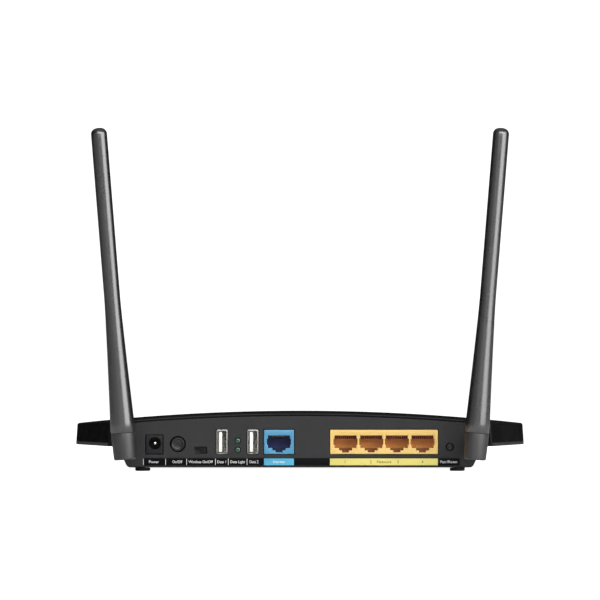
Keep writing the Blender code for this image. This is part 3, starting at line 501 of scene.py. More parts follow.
finishes = {
    "gloss": plastic("glossBlack", (0.006, 0.006, 0.0065), (0.009, 0.009, 0.0096), 0.12, 0.04, 500.0,
                     0.001 * mm, 0.1, 0.1, IOR=1.2),
    "matt": plastic("mattBlack", (0.022, 0.022, 0.023), (0.029, 0.029, 0.0305), 0.5, 0.14, 5200.0,
                    0.02 * mm, 0.08,
                    Specular_IOR_Level=0.19),
    "antenna": plastic("antennaBlack", (0.005, 0.005, 0.0055), (0.009, 0.009, 0.0095), 0.28, 0.06, 6000.0,
                       0.004 * mm,
                       IOR=2.15),
    "yoke": plastic("yokeBlack", (0.003, 0.003, 0.0033), (0.006, 0.006, 0.0063), 0.46, 0.08, 5200.0,
                    0.014 * mm,
                    IOR=1.85),
    "button": plastic("buttonBlack", (0.0088, 0.0088, 0.0099), (0.0154, 0.0154, 0.0165), 0.28, 0.08, 4200.0,
                      0.006 * mm,
                      Specular_IOR_Level=0.4),
    "jack": plastic("jackBlack", (0.0088, 0.0088, 0.0099), (0.0154, 0.0154, 0.0165), 0.4, 0.08, 4200.0,
                    0.012 * mm,
                    Specular_IOR_Level=0.2),
    "knob": plastic("knobBlack", (0.0066, 0.0066, 0.0077), (0.0132, 0.0132, 0.0143), 0.45, 0.08, 4200.0,
                    0.012 * mm,
                    Specular_IOR_Level=0.2),
    "rubber": plastic("footRubber", (0.018, 0.018, 0.018), (0.032, 0.032, 0.032), 0.78, 0.12, 2600.0,
                      0.03 * mm, 0.3),
    "chip": plastic("chipBlack", (0.033, 0.033, 0.033), (0.066, 0.066, 0.066), 0.55, 0.15, 5000.0,
                    0.02 * mm, 0.3),
    "cable": plastic("cableJacket", (0.022, 0.022, 0.022), (0.044, 0.044, 0.044), 0.4, 0.1, 3000.0,
                     0.01 * mm),
    "smoked": plastic("smokedWindow", (0.0132, 0.0132, 0.0176), (0.0264, 0.0264, 0.0308), 0.08, 0.04, 400.0,
                      0.001 * mm, 0.15, 0.08, IOR=1.25),
    "guide": plastic("clearLightGuide", (0.55, 0.58, 0.6), (0.7, 0.72, 0.74), 0.15, 0.08, 500.0,
                     0.004 * mm, 0.1, Transmission_Weight=0.6),
    "white": plastic("whitePlastic", (0.82, 0.82, 0.804), (0.82, 0.82, 0.806), 0.4, 0.1, 3000.0, 0.008 * mm),
    "ink": makeFilmFinish("whiteInk", (0.66, 0.66, 0.66), (0.792, 0.792, 0.792)),
    "darkInk": makeFilmFinish("darkInk", (0.008, 0.009, 0.003), (0.014, 0.014, 0.006)),
    "film": makeFilmFinish("blackFilm", (0.0022, 0.0022, 0.0026), (0.0055, 0.0055, 0.0066)),
    "blueFilm": makeFilmFinish("blueFilm", (0.083, 0.34, 0.51), (0.098, 0.37, 0.55)),
    "yellowFilm": makeFilmFinish("yellowFilm", (0.62, 0.55, 0.165), (0.7, 0.62, 0.195)),
    "steel": metal("nickelSteel", (0.5, 0.49, 0.46), (0.95, 0.94, 0.9), 0.24),
    "screw": metal("screwSteel", (0.2, 0.2, 0.2), (0.5, 0.5, 0.5), 0.3, 1500.0),
    "gold": metal("goldPlate", (0.6, 0.38, 0.12), (0.95, 0.72, 0.34), 0.22, 1800.0),
    "sink": metal("heatSink", (0.3, 0.3, 0.32), (0.62, 0.62, 0.64), 0.4, 1200.0, 0.01 * mm),
    # the sockets' inside, deep and comb colours are painted light and shade; only the face colour is the
    # nylon's own
    "blue": socketPlasticPaintedLightShade("bluePlasticPaintedShade", (0.065, 0.26, 0.43), (0.044, 0.11, 0.45), (0.03, 0.05, 0.23),
                          (0.012, 0.02, 0.08), 0.4),
    "orange": socketPlasticPaintedLightShade("orangePlasticPaintedLightShade", (0.71, 0.48, 0.14), (0.93, 0.46, 0.11), (0.93, 0.45, 0.11),
                            (0.2, 0.03, 0.006), 0.4),
    "board": makeBoardFinish(),
    "lens": makeLensFinish(),
}
print("finishes made:", len(finishes))


# Cover

cover = {
    "corners": [(104.4, -0.6, 1.0, 1, -1), (124.4, 45, 14, 1, 0), (100, 146, 26, 1, 1), (40, 160, 150, 0, 1)],
    "wall": 2.0,
    "lip": 1.6,  # thickness above the panel
    "skirt": 13.6,
    "edge": (0.7, 1.1, 1.8),  # inset at the foot of the rounded edge, its drop, and its inset at the top
    "crownAlong": 30,
    "crownFall": (0.2, 8.3),  # behind and in front of the highest line
    "crownAcross": 0.45,
    "depth": 160,
    "slots": 13,
}


def caseOutline(inset):
    # swept plan: straight rear, wings, sides that draw in, bowed front
    half = [((x - a * inset) * mm, (y - b * inset) * mm, r * mm) for x, y, r, a, b in cover["corners"]]
    return bothSides(half, arcSteps=16, edgeSteps=20) + (0, panelY)


def crownFall(y):
    # way from the highest line, the length it takes to fall, and how far it falls there
    along = y - panelY - cover["crownAlong"] * mm
    front = along > 0
    reach = np.where(front, cover["depth"] - cover["crownAlong"], cover["crownAlong"]) * mm
    fall = np.where(front, cover["crownFall"][1], cover["crownFall"][0]) * mm
    return along, reach, fall


def crownHeight(x, y):
    # highest on one line across, and falling with the square of the way from it and from the middle
    along, reach, fall = crownFall(y)
    return coverTop - fall * (along / reach) ** 2 - cover["crownAcross"] * x ** 2


def crownNormal(x, y):
    along, reach, fall = crownFall(y)
    slope = [2 * cover["crownAcross"] * x, 2 * fall * along / reach ** 2, np.ones_like(x)]
    return unit(np.stack(slope, -1))


def underCrown(outline, drop):
    return np.column_stack([outline, crownHeight(outline[:, 0], outline[:, 1]) - drop])


def drawnIn(outline, share):
    middle = np.array([0, panelY + 75 * mm])
    return middle + (outline - middle) * share


def level(outline, z):
    return np.column_stack([outline, np.full(len(outline), z)])


def coverRings():
    # from the middle of the ceiling out to the skirt, round its lower rim, and back over the outside to
    # the crown
    foot, drop, top = cover["edge"]
    wall, skirt = cover["wall"], cover["skirt"] * mm
    ceiling = caseOutline(wall + 0.8)
    rings = [underCrown(drawnIn(ceiling, s), wall * mm) for s in (0.05, 0.2, 0.4, 0.6, 0.8, 0.95, 1)]
    rings += [level(caseOutline(wall), skirt + 0.3 * mm), level(caseOutline(wall - 0.3), skirt)]
    rings += [level(caseOutline(0.3), skirt), level(caseOutline(0.08), skirt + 0.09 * mm)]
    low, high = level(caseOutline(0), skirt + 0.3 * mm), underCrown(caseOutline(foot), drop * mm)
    rings += [low + (high - low) * s for s in np.linspace(0, 1, 7)]
    for angle in np.linspace(0, np.pi / 2, 7)[1:]:
        inset = foot + (top - foot) * (1 - np.cos(angle))
        rings.append(underCrown(caseOutline(inset), drop * mm * (1 - np.sin(angle))))
    edge = caseOutline(top)
    rings += [underCrown(drawnIn(edge, s), 0) for s in np.linspace(1, 0.03, 34)[1:]]
    return np.array(rings)


def slotCutters():
    # round-ended slots in a gently bowed row on each side, with softly rolled upper edges
    number = np.arange(cover["slots"])
    along = (30 + 6 * number) * mm
    across = 76 * mm - 9 * mm * ((along - 45 * mm) / (75 * mm)) ** 2
    shapes = []
    for sign in (-1, 1):
        for x, y in zip(sign * across, panelY + along):
            rings = []
            for growth, rise in ((0, -4.5), (0, -0.45), (0.06, -0.2), (0.22, -0.04), (0.45, 0.02), (0.45, 2)):
                outline = roundedBox((7 + growth) * mm, (1 + growth) * mm, (0.98 + growth) * mm, 8, x, y)
                rings.append(underCrown(outline, -rise * mm))
            shapes.append(loft(np.array(rings)))
    return merged(shapes)


windowStrip = {"half": 42, "along": (144, 149), "corner": 1.2}


def windowOutline(growth):
    back, front = windowStrip["along"]
    halfDeep = (front - back) / 2 + growth
    y = panelY + (front + back) / 2 * mm
    return roundedBox((windowStrip["half"] + growth) * mm, halfDeep * mm,
                      (windowStrip["corner"] + growth) * mm, 6, 0, y)


def coverOpenings():
    # the arch over the connector panel, and the window of the status lights
    reach = 101.9 * mm
    x = np.linspace(reach, -reach, 61)
    arch = np.stack([x, crownHeight(x, panelY) - cover["lip"] * mm], -1)
    outline = np.vstack([[[-reach, 5 * mm], [reach, 5 * mm]], arch])
    notch = stacked([outline, outline], [panelY - 4 * mm, panelY + 2.9 * mm])
    rings = [underCrown(windowOutline(growth), drop * mm) for growth,
             drop in ((0.3, 4), (0.3, 0.15), (0.45, 0), (0.45, -2))]
    return merged([notch, slotCutters(), loft(np.array(rings))])


def screwPlaces():
    for x, along in ((88, 34), (50, 133)):
        for sign in (-1, 1):
            yield sign * x * mm, panelY + along * mm


def coverBosses(radius, low, high):
    shapes = []
    for x, y in screwPlaces():
        top = crownHeight(np.array(x), np.array(y)) - 1 * mm if high is None else high
        shapes.append(stacked([circle(radius, 24, x, y)] * 2, [low, top], "Z"))
    return merged(shapes)


def makeCover():
    steps = [
        ("UNION", coverBosses(3.1 * mm, 3.9 * mm, None)),
        ("DIFFERENCE", coverOpenings()),
        ("DIFFERENCE", coverBosses(1.5 * mm, 2 * mm, 14 * mm)),
    ]
    piece = addPiece("coverShell", loft(coverRings(), "fan"), finishes["gloss"], "case",
                     ["top_cover"], 32, steps)
    polishCrown(piece.data)
    return piece


def polishCrown(mesh):
    # gives the outer surface its own exact normals, so that reflections run true past the cut edges
    count = len(mesh.loops)
    corner = np.empty(count * 3, np.float32)
    mesh.corner_normals.foreach_get("vector", corner)
    vertex = np.empty(count, np.int32)
    mesh.loops.foreach_get("vertex_index", vertex)
    points = np.empty(len(mesh.vertices) * 3, np.float32)
    mesh.vertices.foreach_get("co", points)
    place = points.reshape(-1, 3)[vertex].astype(float)
    faceNormal = np.empty(len(mesh.polygons) * 3, np.float32)
    mesh.polygons.foreach_get("normal", faceNormal)
    total = np.empty(len(mesh.polygons), np.int32)
    mesh.polygons.foreach_get("loop_total", total)
    own = np.repeat(faceNormal.reshape(-1, 3), total, 0)
    exact = crownNormal(place[:, 0], place[:, 1])
    onCrown = np.abs(place[:, 2] - crownHeight(place[:, 0], place[:, 1])) < 0.004 * mm
    onCrown &= (own * exact).sum(1) > 0.995
    normals = np.where(onCrown[:, None], exact, corner.reshape(-1, 3))
    mesh.normals_split_custom_set(normals.tolist())


makeCover()
rings = [underCrown(windowOutline(g), d * mm) for g,
         d in ((-0.05, 2), (-0.05, 0.12), (-0.16, 0.02), (-0.4, 0.02))]
addPiece("statusWindow", loft(np.array(rings)), finishes["smoked"], "case", ["status_light_window"])
print("cover made")


# Lower case and its connector panel

lower = {
    "rows": [  # (half width, rear, front, height) from the flange down to the floor
        (101.3, 2.4, 150, 13.6),
        (100.9, 2.4, 149, 11.6),
        (96.4, 2.4, 146, 7.8),
        (94.1, 2.4, 144, 3.2),
        (93.2, 2.4, 143, 2.0),
    ],
    "wall": 1.6,
    "panelThick": 2.6,
    "panelReach": 101.6,
    "labelX": (-85.6, 87),
    "labelZ": (3.0, 7.3),
    "labelDeep": 0.6,
}
controls = {
    "powerJack": {"x": -79.3, "half": 4.6, "low": 9.4, "high": 19.6, "holeX": -79.0, "holeZ": 15.2},
    "powerButton": {"x": -66.5, "z": 14.8, "hole": 4.35},
    "slide": {"x": -54.0, "z": 11.45, "half": 3.4, "halfHigh": 1.85, "knob": 3.1},
    "data": {"left": -42.5, "right": -25.7, "half": 2.95, "low": 9.4, "high": 22.6},
    "lights": {"x": -33.9, "z": (16.6, 11.6), "r": 1.5},
    "reset": {"x": 81.5, "z": 13.2, "hole": 2.15},
}
sockets = {
    "internet": {"x": -11.45, "half": 8.15, "centres": [-11.45]},
    "lan": {"x": 45.7, "half": 29.35, "centres": [45.7 + (i - 1.5) * 13.97 for i in range(4)]},
}
socketZ = (9.4, 22.6)


def planOutline(corners):
    return bothSides([tuple(v * mm for v in c) for c in corners], arcSteps=12, edgeSteps=10) + (0, panelY)


def tubOutline(half, back, front, corner=2.5):
    return planOutline([(half, back, corner), (half, 70, 60), (half - 15, front - 12, 18), (40, front, 60)])


def flangeOutline():
    return planOutline([(101.9, 1.9, 2.5), (121.6, 45, 14), (97, 143.4, 26), (40, 157.4, 150)])


def lowerRings():
    # from the middle of the floor inside, up the inner wall, over the flange, and down the outside to the
    # floor
    wall, ledge = lower["wall"], 15.2
    inner = [(h - wall, b + wall, f - wall, z) for (h, b, f, _),
             z in zip(lower["rows"], (ledge, 11.9, 8.2, 3.6, 3.6))]
    inner = inner[:4][::-1]
    rings = [level(tubOutline(h, b, f, 1.0), z * mm) for h, b, f, z in inner]
    rings += [level(flangeOutline(), ledge * mm), level(flangeOutline(), 13.6 * mm)]
    outer = softened(lower["rows"] + [(92.4, 3.2, 142.2, 2.0)], 0.9, 4)
    rings += [level(tubOutline(h, b, f, 2.5), z * mm) for h, b, f, z in outer]
    return np.array(rings)


def panelShape():
    # flat rear wall with a rolled outer edge, arched under the cover's lip
    side = np.array([(93.5, 2.4), (94.4, 3.2), (96.7, 7.8), (101.2, 11.6), (101.6, 13.6)]) * mm
    x = np.linspace(lower["panelReach"], -lower["panelReach"], 61) * mm
    top = np.stack([x, crownHeight(x, panelY) - (cover["lip"] + 0.3) * mm], -1)
    outline = np.vstack([side, top, side[::-1] * (-1, 1)])
    insets, places = (0.35, 0.12, 0.0, 0.0), (0.0, 0.1, 0.4, lower["panelThick"])
    return stacked([grown(outline, -i * mm) for i in insets], [panelY + p * mm for p in places])


def panelMouths():
    # every opening in the connector panel, each with a small flare at its edge
    c = controls
    jack, slide, data, lights = c["powerJack"], c["slide"], c["data"], c["lights"]
    flare, deep = 0.25 * mm, 6 * mm
    outlines = [
        roundedBox((jack["half"] + 0.3) * mm, 5.4 * mm, 0.5 * mm, 4, jack["x"] * mm, 14.5 * mm),
        roundedBox(slide["half"] * mm, slide["halfHigh"] * mm, 0.3 * mm, 4, slide["x"] * mm, slide["z"] * mm),
        circle(c["powerButton"]["hole"] * mm, 64, c["powerButton"]["x"] * mm, c["powerButton"]["z"] * mm),
        circle(c["reset"]["hole"] * mm, 48, c["reset"]["x"] * mm, c["reset"]["z"] * mm),
    ]
    outlines += [circle((lights["r"] + 0.2) * mm, 40, lights["x"] * mm, z * mm) for z in lights["z"]]
    outlines += [circle(3.475 * mm, 48, sign * 95 * mm, 14.5 * mm) for sign in (-1, 1)]
    middle, high = (data["low"] + data["high"]) / 2 * mm, (data["high"] - data["low"]) / 2 * mm
    for x in (data["left"], data["right"]):
        outlines.append(roundedBox((data["half"] + 0.3) * mm, high + 0.3 * mm, 0.9 * mm, 5, x * mm, middle))
    for socket in sockets.values():
        half = ((socket["half"] + 0.3) * mm, (socketZ[1] - socketZ[0]) / 2 * mm + 0.3 * mm)
        outlines.append(roundedBox(*half, 0.4 * mm, 3, socket["x"] * mm, sum(socketZ) / 2 * mm))
    shapes = [mouth(outline, flare, deep, panelY) for outline in outlines]
    x, z = np.array(lower["labelX"]) * mm, np.array(lower["labelZ"]) * mm
    recess = roundedBox((x[1] - x[0]) / 2, (z[1] - z[0]) / 2, 0.3 * mm, 3, x.mean(), z.mean())
    shapes.append(stacked([recess, recess], [panelY - 1 * mm, panelY + lower["labelDeep"] * mm]))
    return merged(shapes)


def floorOpenings():
    # cooling slots, keyholes for hanging, and screw holes
    shapes = []
    through = [-1 * mm, 1.8 * mm, 2.25 * mm, 6 * mm]
    for sign in (-1, 1):
        for i in range(9):
            y = panelY + (44 + 6 * i) * mm
            grow = (0.3, 0.3, 0, 0)
            outlines = [roundedBox((16 + g) * mm, (1 + g) * mm, (0.98 + g) * mm, 6, sign * 26 * mm,
                                   y) for g in grow]
            shapes.append(stacked(outlines, through, "Z"))
        shapes.append(stacked([keyhole(sign * 62 * mm)] * 2, [through[0], through[-1]], "Z"))
    for x, y in screwPlaces():
        outlines = [circle(r * mm, 32, x, y) for r in (2.2, 2.2, 1.9, 1.9)]
        shapes.append(stacked(outlines, through, "Z"))
    return merged(shapes)


def keyhole(x):
    # round entry with a narrow, round-ended neck towards the front
    radius, neck, reach = 4.2 * mm, 2.1 * mm, 6.9 * mm
    y = panelY + 72 * mm
    start = math.acos(neck / radius)
    head = np.linspace(np.pi - start, 2 * np.pi + start, 31)
    tip = np.linspace(0, np.pi, 13)
    entry = np.stack([x + radius * np.cos(head), y + radius * np.sin(head)], -1)
    neckEnd = np.stack([x + neck * np.cos(tip), y + reach + neck * np.sin(tip)], -1)
    return np.vstack([entry, neckEnd])


def pillars(radius, steps, low, high):
    # one round column under each board screw
    shapes = []
    for along in (30, 107):
        for sign in (-1, 1):
            outline = circle(radius * mm, steps, sign * 78 * mm, panelY + along * mm)
            shapes.append(stacked([outline, outline], [low * mm, high * mm], "Z"))
    return merged(shapes)


steps = [
    ("UNION", panelShape()),
    ("UNION", pillars(2.8, 32, 3.0, 7.2)),
    ("DIFFERENCE", panelMouths()),
    ("DIFFERENCE", floorOpenings()),
    ("DIFFERENCE", pillars(1.3, 24, 4.0, 9.0)),
]
addPiece("lowerCase", loft(lowerRings(), "fan"), finishes["matt"], "case", ["bottom_case"],
         18, steps)
print("lower case made")


# Feet and case screws

footPlaces = {"rear": (85.8, 9), "front": (70, 126)}
profile = [(0.2, 0.25), (2.6, 0.25), (2.9, 0), (3.7, 0), (4.1, 0.35), (4.1, 1.5), (3.8, 1.7), (0.2, 1.7)]
profile = softened(np.array(profile) * mm, 0.2 * mm, 3)
for end, (x, along) in footPlaces.items():
    for side, sign in sides.items():
        pad = placed(turned(profile, 72), at=(sign * x * mm, panelY + along * mm, 0))
        addPiece(f"foot{end.title()}{side.title()}", pad, finishes["rubber"], "case",
                 [f"foot_{end}_{side}"], 40)


def crossRecess(x, y, z):
    # cross-shaped pocket, narrower at its bottom
    blade = np.array([(0.25, 0.25), (0.25, 1.5), (-0.25, 1.5), (-0.25, 0.25), (-1.5, 0.25), (-1.5, -0.25)])
    outline = np.vstack([blade, -blade]) * mm
    shapes = [outline * s + (x, y) for s in (1.05, 1.0, 0.55)]
    return stacked(shapes, [z - 1 * mm, z, z + 0.9 * mm], "Z")


screwProfile = [(0.1, -1.3), (1.9, -1.3), (2.7, -1.1), (3.05, -0.7), (3.1, -0.3), (1.2, -0.3)]
screwProfile += [(1.2 + 0.25 * (i % 2), 0.2 + 0.4 * i) for i in range(26)] + [(0.9, 11), (0.1, 11)]
names = ["rear_left", "rear_right", "front_left", "front_right"]
for name, (x, y) in zip(names, screwPlaces()):
    shape = placed(turned(np.array(screwProfile) * mm, 40), at=(x, y, 2 * mm))
    addPiece("caseScrew" + name.title().replace("_", ""), shape, finishes["screw"], "case",
             ["case_screw_" + name], 35, [("DIFFERENCE", crossRecess(x, y, 0.7 * mm))])
print("feet and screws made")


# Label strip with its printing

label = {
    "fields": {"internet": (-19.6, -3.3, "blueFilm"), "lan": (16.3, 75.0, "yellowFilm")},
    "dividers": (-85.2, -73.1, -61.7, -46.0, -39.0, -28.8),
    "words": [
        ("Power", -79.4, 5.4), ("On/Off", -66.7, 5.4), ("Wireless On/Off", -54.0, 13.2),
        ("Data 1", -42.6, 4.7), ("Data Light", -33.9, 8.0), ("Data 2", -25.0, 4.7), ("Pair/Reset", 81.0, 9.4),
    ],
    "wordHigh": 1.55,
    "z": 5.1,
}
labelFace = panelY + 0.02 * mm


def plate(name, x, z, y, thick, finish, stands=()):
    outline = roundedBox((x[1] - x[0]) / 2 * mm, (z[1] - z[0]) / 2 * mm, 0.12 * mm, 3,
                         (x[0] + x[1]) / 2 * mm, (z[0] + z[1]) / 2 * mm)
    shape = prism(outline, y, y + thick, "Y", 0.02 * mm, 2)
    return addPiece(name, shape, finish, "case", stands)


def words(name, body, x, z, high, width, y, finish):
    # one line of raised print, squeezed to its width and set on the face at y
    curve = bpy.data.curves.new(name, "FONT")
    curve.body = body
    curve.align_x, curve.align_y = "CENTER", "CENTER"
    curve.size, curve.extrude = 1.0, 0.01
    curve.resolution_u = 3
    draft = bpy.data.objects.new(name, curve)
    bpy.context.scene.collection.objects.link(draft)
    bpy.context.view_layer.update()
    mesh = bpy.data.meshes.new_from_object(draft.evaluated_get(bpy.context.evaluated_depsgraph_get()))
    bpy.data.objects.remove(draft)
    points = np.empty(len(mesh.vertices) * 3)
    mesh.vertices.foreach_get("co", points)
    points = points.reshape(-1, 3)
    low, up = points.min(0), points.max(0)
    tall = high / 0.73 * mm
    wide = width * mm / (up[0] - low[0]) if width else tall
    squeeze = np.array([wide, tall, 0.6 * mm])
    points = (points - (low + up) / 2 * (1, 0, 1)) * squeeze
    flat = np.stack([points[:, 0] + x * mm, y - points[:, 2], points[:, 1] + z * mm], -1)
    mesh.vertices.foreach_set("co", flat.ravel())
    mesh.update()
    piece = bpy.data.objects.new(name, mesh)
    bpy.context.scene.collection.objects.link(piece)
    tidyMesh(mesh)
    mesh.materials.clear()
    mesh.materials.append(finish)
    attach(piece, "case")
    return piece


plate("labelStrip", (-85.3, 86.7), (3.3, 7.0), labelFace, 0.25 * mm, finishes["film"], ["port_label_strip"])
inkFace = labelFace - 0.01 * mm
for name, (left, right, finish) in label["fields"].items():
    plate(name + "LabelField", (left, right), (3.3, 7.0), labelFace - 0.02 * mm, 0.05 * mm, finishes[finish])
for i, x in enumerate(label["dividers"]):
    plate(f"labelDivider{i + 1}", (x - 0.13, x + 0.13), (3.45, 6.85), labelFace - 0.02 * mm, 0.05 * mm,
          finishes["ink"])
for i, (text, x, width) in enumerate(label["words"]):
    words(f"labelWord{i + 1}", text, x, label["z"], label["wordHigh"], width, inkFace, finishes["ink"])
words("labelInternet", "Internet", -11.45, label["z"], 1.4, 6.2, inkFace - 0.02 * mm, finishes["ink"])
words("labelNetwork", "Network", 45.9, label["z"], 1.6, 8.0, inkFace - 0.02 * mm, finishes["darkInk"])
for number, x in enumerate((24.5, 38.5, 53.3, 66.6)):
    words(f"labelNumber{number + 1}", str(number + 1), x, label["z"], 1.6, None, inkFace - 0.02 * mm,
          finishes["darkInk"])
print("label printed")


# Power jack, power button, slide switch, reset button, lights

def turnedOnPanel(profile, soft, steps, x, z, back=0.0, bends=4):
    # round piece whose axis runs front to back; all values in millimetres
    rounded = softened(np.array(profile) * mm, soft * mm, bends)
    return placed(turned(rounded, steps, "Y"), at=(x * mm, panelY + back * mm, z * mm))


def makePowerJack():
    # square body with a round barrel, and the pin in its middle
    jack = controls["powerJack"]
    half = (jack["half"] * mm, (jack["high"] - jack["low"]) / 2 * mm)
    body = roundedBox(*half, 0.6 * mm, 5, jack["x"] * mm, (jack["low"] + jack["high"]) / 2 * mm)
    rounds = [(0.45, 0.0), (0.15, 0.12), (0.0, 0.45), (0.0, 13.9)]
    shape = stacked([grown(body, -g * mm) for g, _ in rounds], [panelY + y * mm for _, y in rounds])
    barrel = [(0.3, -1.0), (3.6, -1.0), (3.6, -0.1), (3.2, 0.4), (3.2, 9.3), (3.0, 9.5), (0.3, 9.5)]
    barrel = turnedOnPanel(barrel, 0.15, 64, jack["holeX"], jack["holeZ"])
    addPiece("powerInlet", shape, finishes["jack"], "case", ["power_jack"], 30,
             [("DIFFERENCE", barrel)])
    pin = [(0.1, 0), (1.0, 0), (1.0, -6.9), (0.92, -7.25), (0.7, -7.5), (0.35, -7.62), (0.05, -7.65)]
    pin = turnedOnPanel(pin, 0.12, 32, jack["holeX"], jack["holeZ"], 9.2)
    addPiece("powerInletPin", pin, finishes["steel"], "case", ["power_jack_pin"], 40)


def makePowerButton():
    # dished cap with a raised rim and a faint ring round its middle
    button = controls["powerButton"]
    side = [(0.1, 4.6), (3.5, 4.6), (3.7, 4.4), (3.7, 0.25), (3.6, -0.08), (3.35, -0.26), (3.05, -0.22)]
    dish = [(2.8, 0.0), (2.6, 0.14), (1.75, 0.34), (1.6, 0.28), (1.42, 0.28), (1.28, 0.42), (0.6, 0.47),
            (0.1, 0.48)]
    cap = turnedOnPanel(side + dish, 0.12, 80, button["x"], button["z"], bends=3)
    addPiece("powerButtonCap", cap, finishes["button"], "power_button", ["power_button"], 40)


def makeSlideKnob():
    # four rounded ribs across the front of a plain block
    slide = controls["slide"]
    right = slide["x"] + slide["half"] - 0.3
    left = right - slide["knob"]
    ribX = np.linspace(left, right, 113)
    wave = np.abs(np.sin((ribX - left) / slide["knob"] * np.pi * 4)) ** 0.5
    crest = np.clip(wave, 0, 0.92) / 0.92
    front = np.stack([ribX, 0.62 - 0.42 * crest], -1)
    knob = np.vstack([front, [[right, 4.0], [left, 4.0]]]) * mm + (0, panelY)
    high = (slide["halfHigh"] - 0.3) * mm
    shape = prism(knob, slide["z"] * mm - high, slide["z"] * mm + high, "Z")
    addPiece("wirelessKnob", shape, finishes["knob"], "wireless_switch_knob", ["wireless_switch_knob"],
             30)


def makeResetButton():
    reset = controls["reset"]
    stem = [(0.1, 5.2), (1.8, 5.2), (1.8, 0.75), (1.62, 0.45), (1.3, 0.42), (0.6, 0.52), (0.1, 0.55)]
    stem = turnedOnPanel(stem, 0.15, 56, reset["x"], reset["z"])
    addPiece("resetButtonCap", stem, finishes["button"], "reset_button", ["reset_button"], 40)


def makeDataLights():
    lights = controls["lights"]
    lens = [(0.05, 5.8), (1.3, 5.8), (1.5, 5.6), (1.5, 0.5), (1.42, 0.2), (1.15, -0.02), (0.7, -0.16),
            (0.05, -0.2)]
    for place, z in zip(("upper", "lower"), lights["z"]):
        addPiece(f"dataLight{place.title()}", turnedOnPanel(lens, 0.2, 48, lights["x"], z), finishes["lens"],
                 "case", [f"usb_light_{place}"], 50)


makePowerJack()
makePowerButton()
makeSlideKnob()
makeResetButton()
makeDataLights()
print("controls made")


# Data sockets

data = controls["data"]
dataZ = (data["low"] + data["high"]) / 2 * mm
dataHalfHigh = (data["high"] - data["low"]) / 2


def dataShell(x):
    # folded sheet: down the inside, round the rolled front edge, back along the outside, and closed at the
    # rear
    rows = [(0.42, 13.05), (0.42, 0.2), (0.36, -0.3), (0.2, -0.48), (0.05, -0.42), (0.0, -0.2), (0.0, 13.4),
            (0.25, 13.5)]
    rings = []
    for inset, along in rows:
        outline = roundedBox((data["half"] - inset) * mm, (dataHalfHigh - inset) * mm, (0.75 - inset) * mm,
                             6, x * mm, dataZ)
        rings.append(np.insert(outline, 1, panelY + along * mm, 1))
    return loft(np.array(rings), "fan")


def springLeaf(x, z, sign):
    # contact leaf pressed out of the shell's side wall, bowed into the socket
    along = np.linspace(1.0, 8.0, 15)
    bow = 0.46 + 0.95 * np.sin((along - 1) / 7 * np.pi) ** 1.5
    inner = np.stack([x + sign * (data["half"] - bow - 0.12), along], -1)
    outer = np.stack([x + sign * (data["half"] - bow), along], -1)
    outline = np.vstack([inner, outer[::-1]]) * mm + (0, panelY)
    return prism(outline, dataZ + (z - 1.1) * mm, dataZ + (z + 1.1) * mm, "Z")


for side in sides:
    x = data[side]
    addPiece(f"dataShell{side.title()}", dataShell(x), finishes["steel"], "case",
             [f"usb_{side}_shell"], 35)
    leaves = merged([springLeaf(x, z, sign) for z in (-2.3, 2.3) for sign in (-1, 1)])
    addPiece(f"dataLeaves{side.title()}", leaves, finishes["steel"], "case", (), 35)
    blade = roundedBox(0.875 * mm, 5.45 * mm, 0.3 * mm, 5, (x - 0.775) * mm, dataZ)
    back = roundedBox(2.15 * mm, 5.8 * mm, 0.3 * mm, 5, x * mm, dataZ)
    tongue = prism(blade, panelY + 0.5 * mm, panelY + 11.8 * mm, "Y", 0.25 * mm, 4)
    rear = prism(back, panelY + 10.4 * mm, panelY + 12.8 * mm, "Y")
    addPiece(f"dataTongue{side.title()}", tongue, finishes["white"], "case", [f"usb_{side}_tongue"],
             35, [("UNION", rear)])
    strips = []
    for offset in (-3.5, -1.0, 1.0, 3.5):
        path = softened(np.array([(0.15, 1.2), (0.32, 1.9), (0.32, 9.8)]), 0.4, 3) + (x, 0)
        outline = np.vstack([path, path[::-1] + (0.25, 0)]) * mm + (0, panelY)
        strips.append(prism(outline, dataZ + (offset - 0.5) * mm, dataZ + (offset + 0.5) * mm, "Z"))
    addPiece(f"dataContacts{side.title()}", merged(strips), finishes["gold"], "case",
             [f"usb_{side}_contacts"], 35)
print("data sockets made")


# Network sockets

port = {
    "half": [(1.85, 10.3), (1.85, 11.4), (3.5, 11.4), (3.5, 12.7), (5.95, 12.7), (5.95, 14.4), (6.5, 14.4),
             (6.5, 17.7), (5.95, 17.7), (5.95, 19.5)],
    "pitch": 1.02,
    "deep": 12.5,
    "combFront": 6.5,
    "comb": 17.45,  # lower ends of the comb's teeth
    "slot": 0.3,  # half width of a gap between teeth
}
portFace = panelY - 0.3 * mm


def cavityOutline(x):
    half = np.array(port["half"])
    return (np.vstack([half, half[::-1] * (-1, 1)]) + (x, 0)) * mm


def combOutline(x):
    # as the mouth, but with teeth hanging from the ceiling between eight gaps
    half = np.array(port["half"][:-2] + [(5.95, 17.7), (5.95, port["comb"])])
    middles = (np.arange(8)[::-1] - 3.5) * port["pitch"]
    s, low, high = port["slot"], port["comb"], port["half"][-1][1]
    gaps = [[(m + s, low), (m + s, high), (m - s, high), (m - s, low)] for m in middles]
    body = np.vstack([half[:-2], [(5.95, port["comb"])], np.array(gaps).reshape(-1, 2),
                      [(-5.95, port["comb"])],
                      half[:-2][::-1] * (-1, 1)])
    return (body + (x, 0)) * mm


def socketCavities(centres):
    # plain mouths with a flared edge, and behind them the combed rears
    mouths, combs = [], []
    for x in centres:
        outline = cavityOutline(x)
        outlines = [grown(outline, 0.22 * mm)] * 2 + [grown(outline, 0.06 * mm), outline, outline]
        rear = portFace + port["combFront"] * mm
        places = [portFace - 1 * mm, portFace, portFace + 0.08 * mm, portFace + 0.3 * mm, rear]
        mouths.append(stacked(outlines, places))
        combs.append(stacked([combOutline(x)] * 2, [rear - 0.3 * mm, portFace + port["deep"] * mm]))
    return merged(mouths), merged(combs)


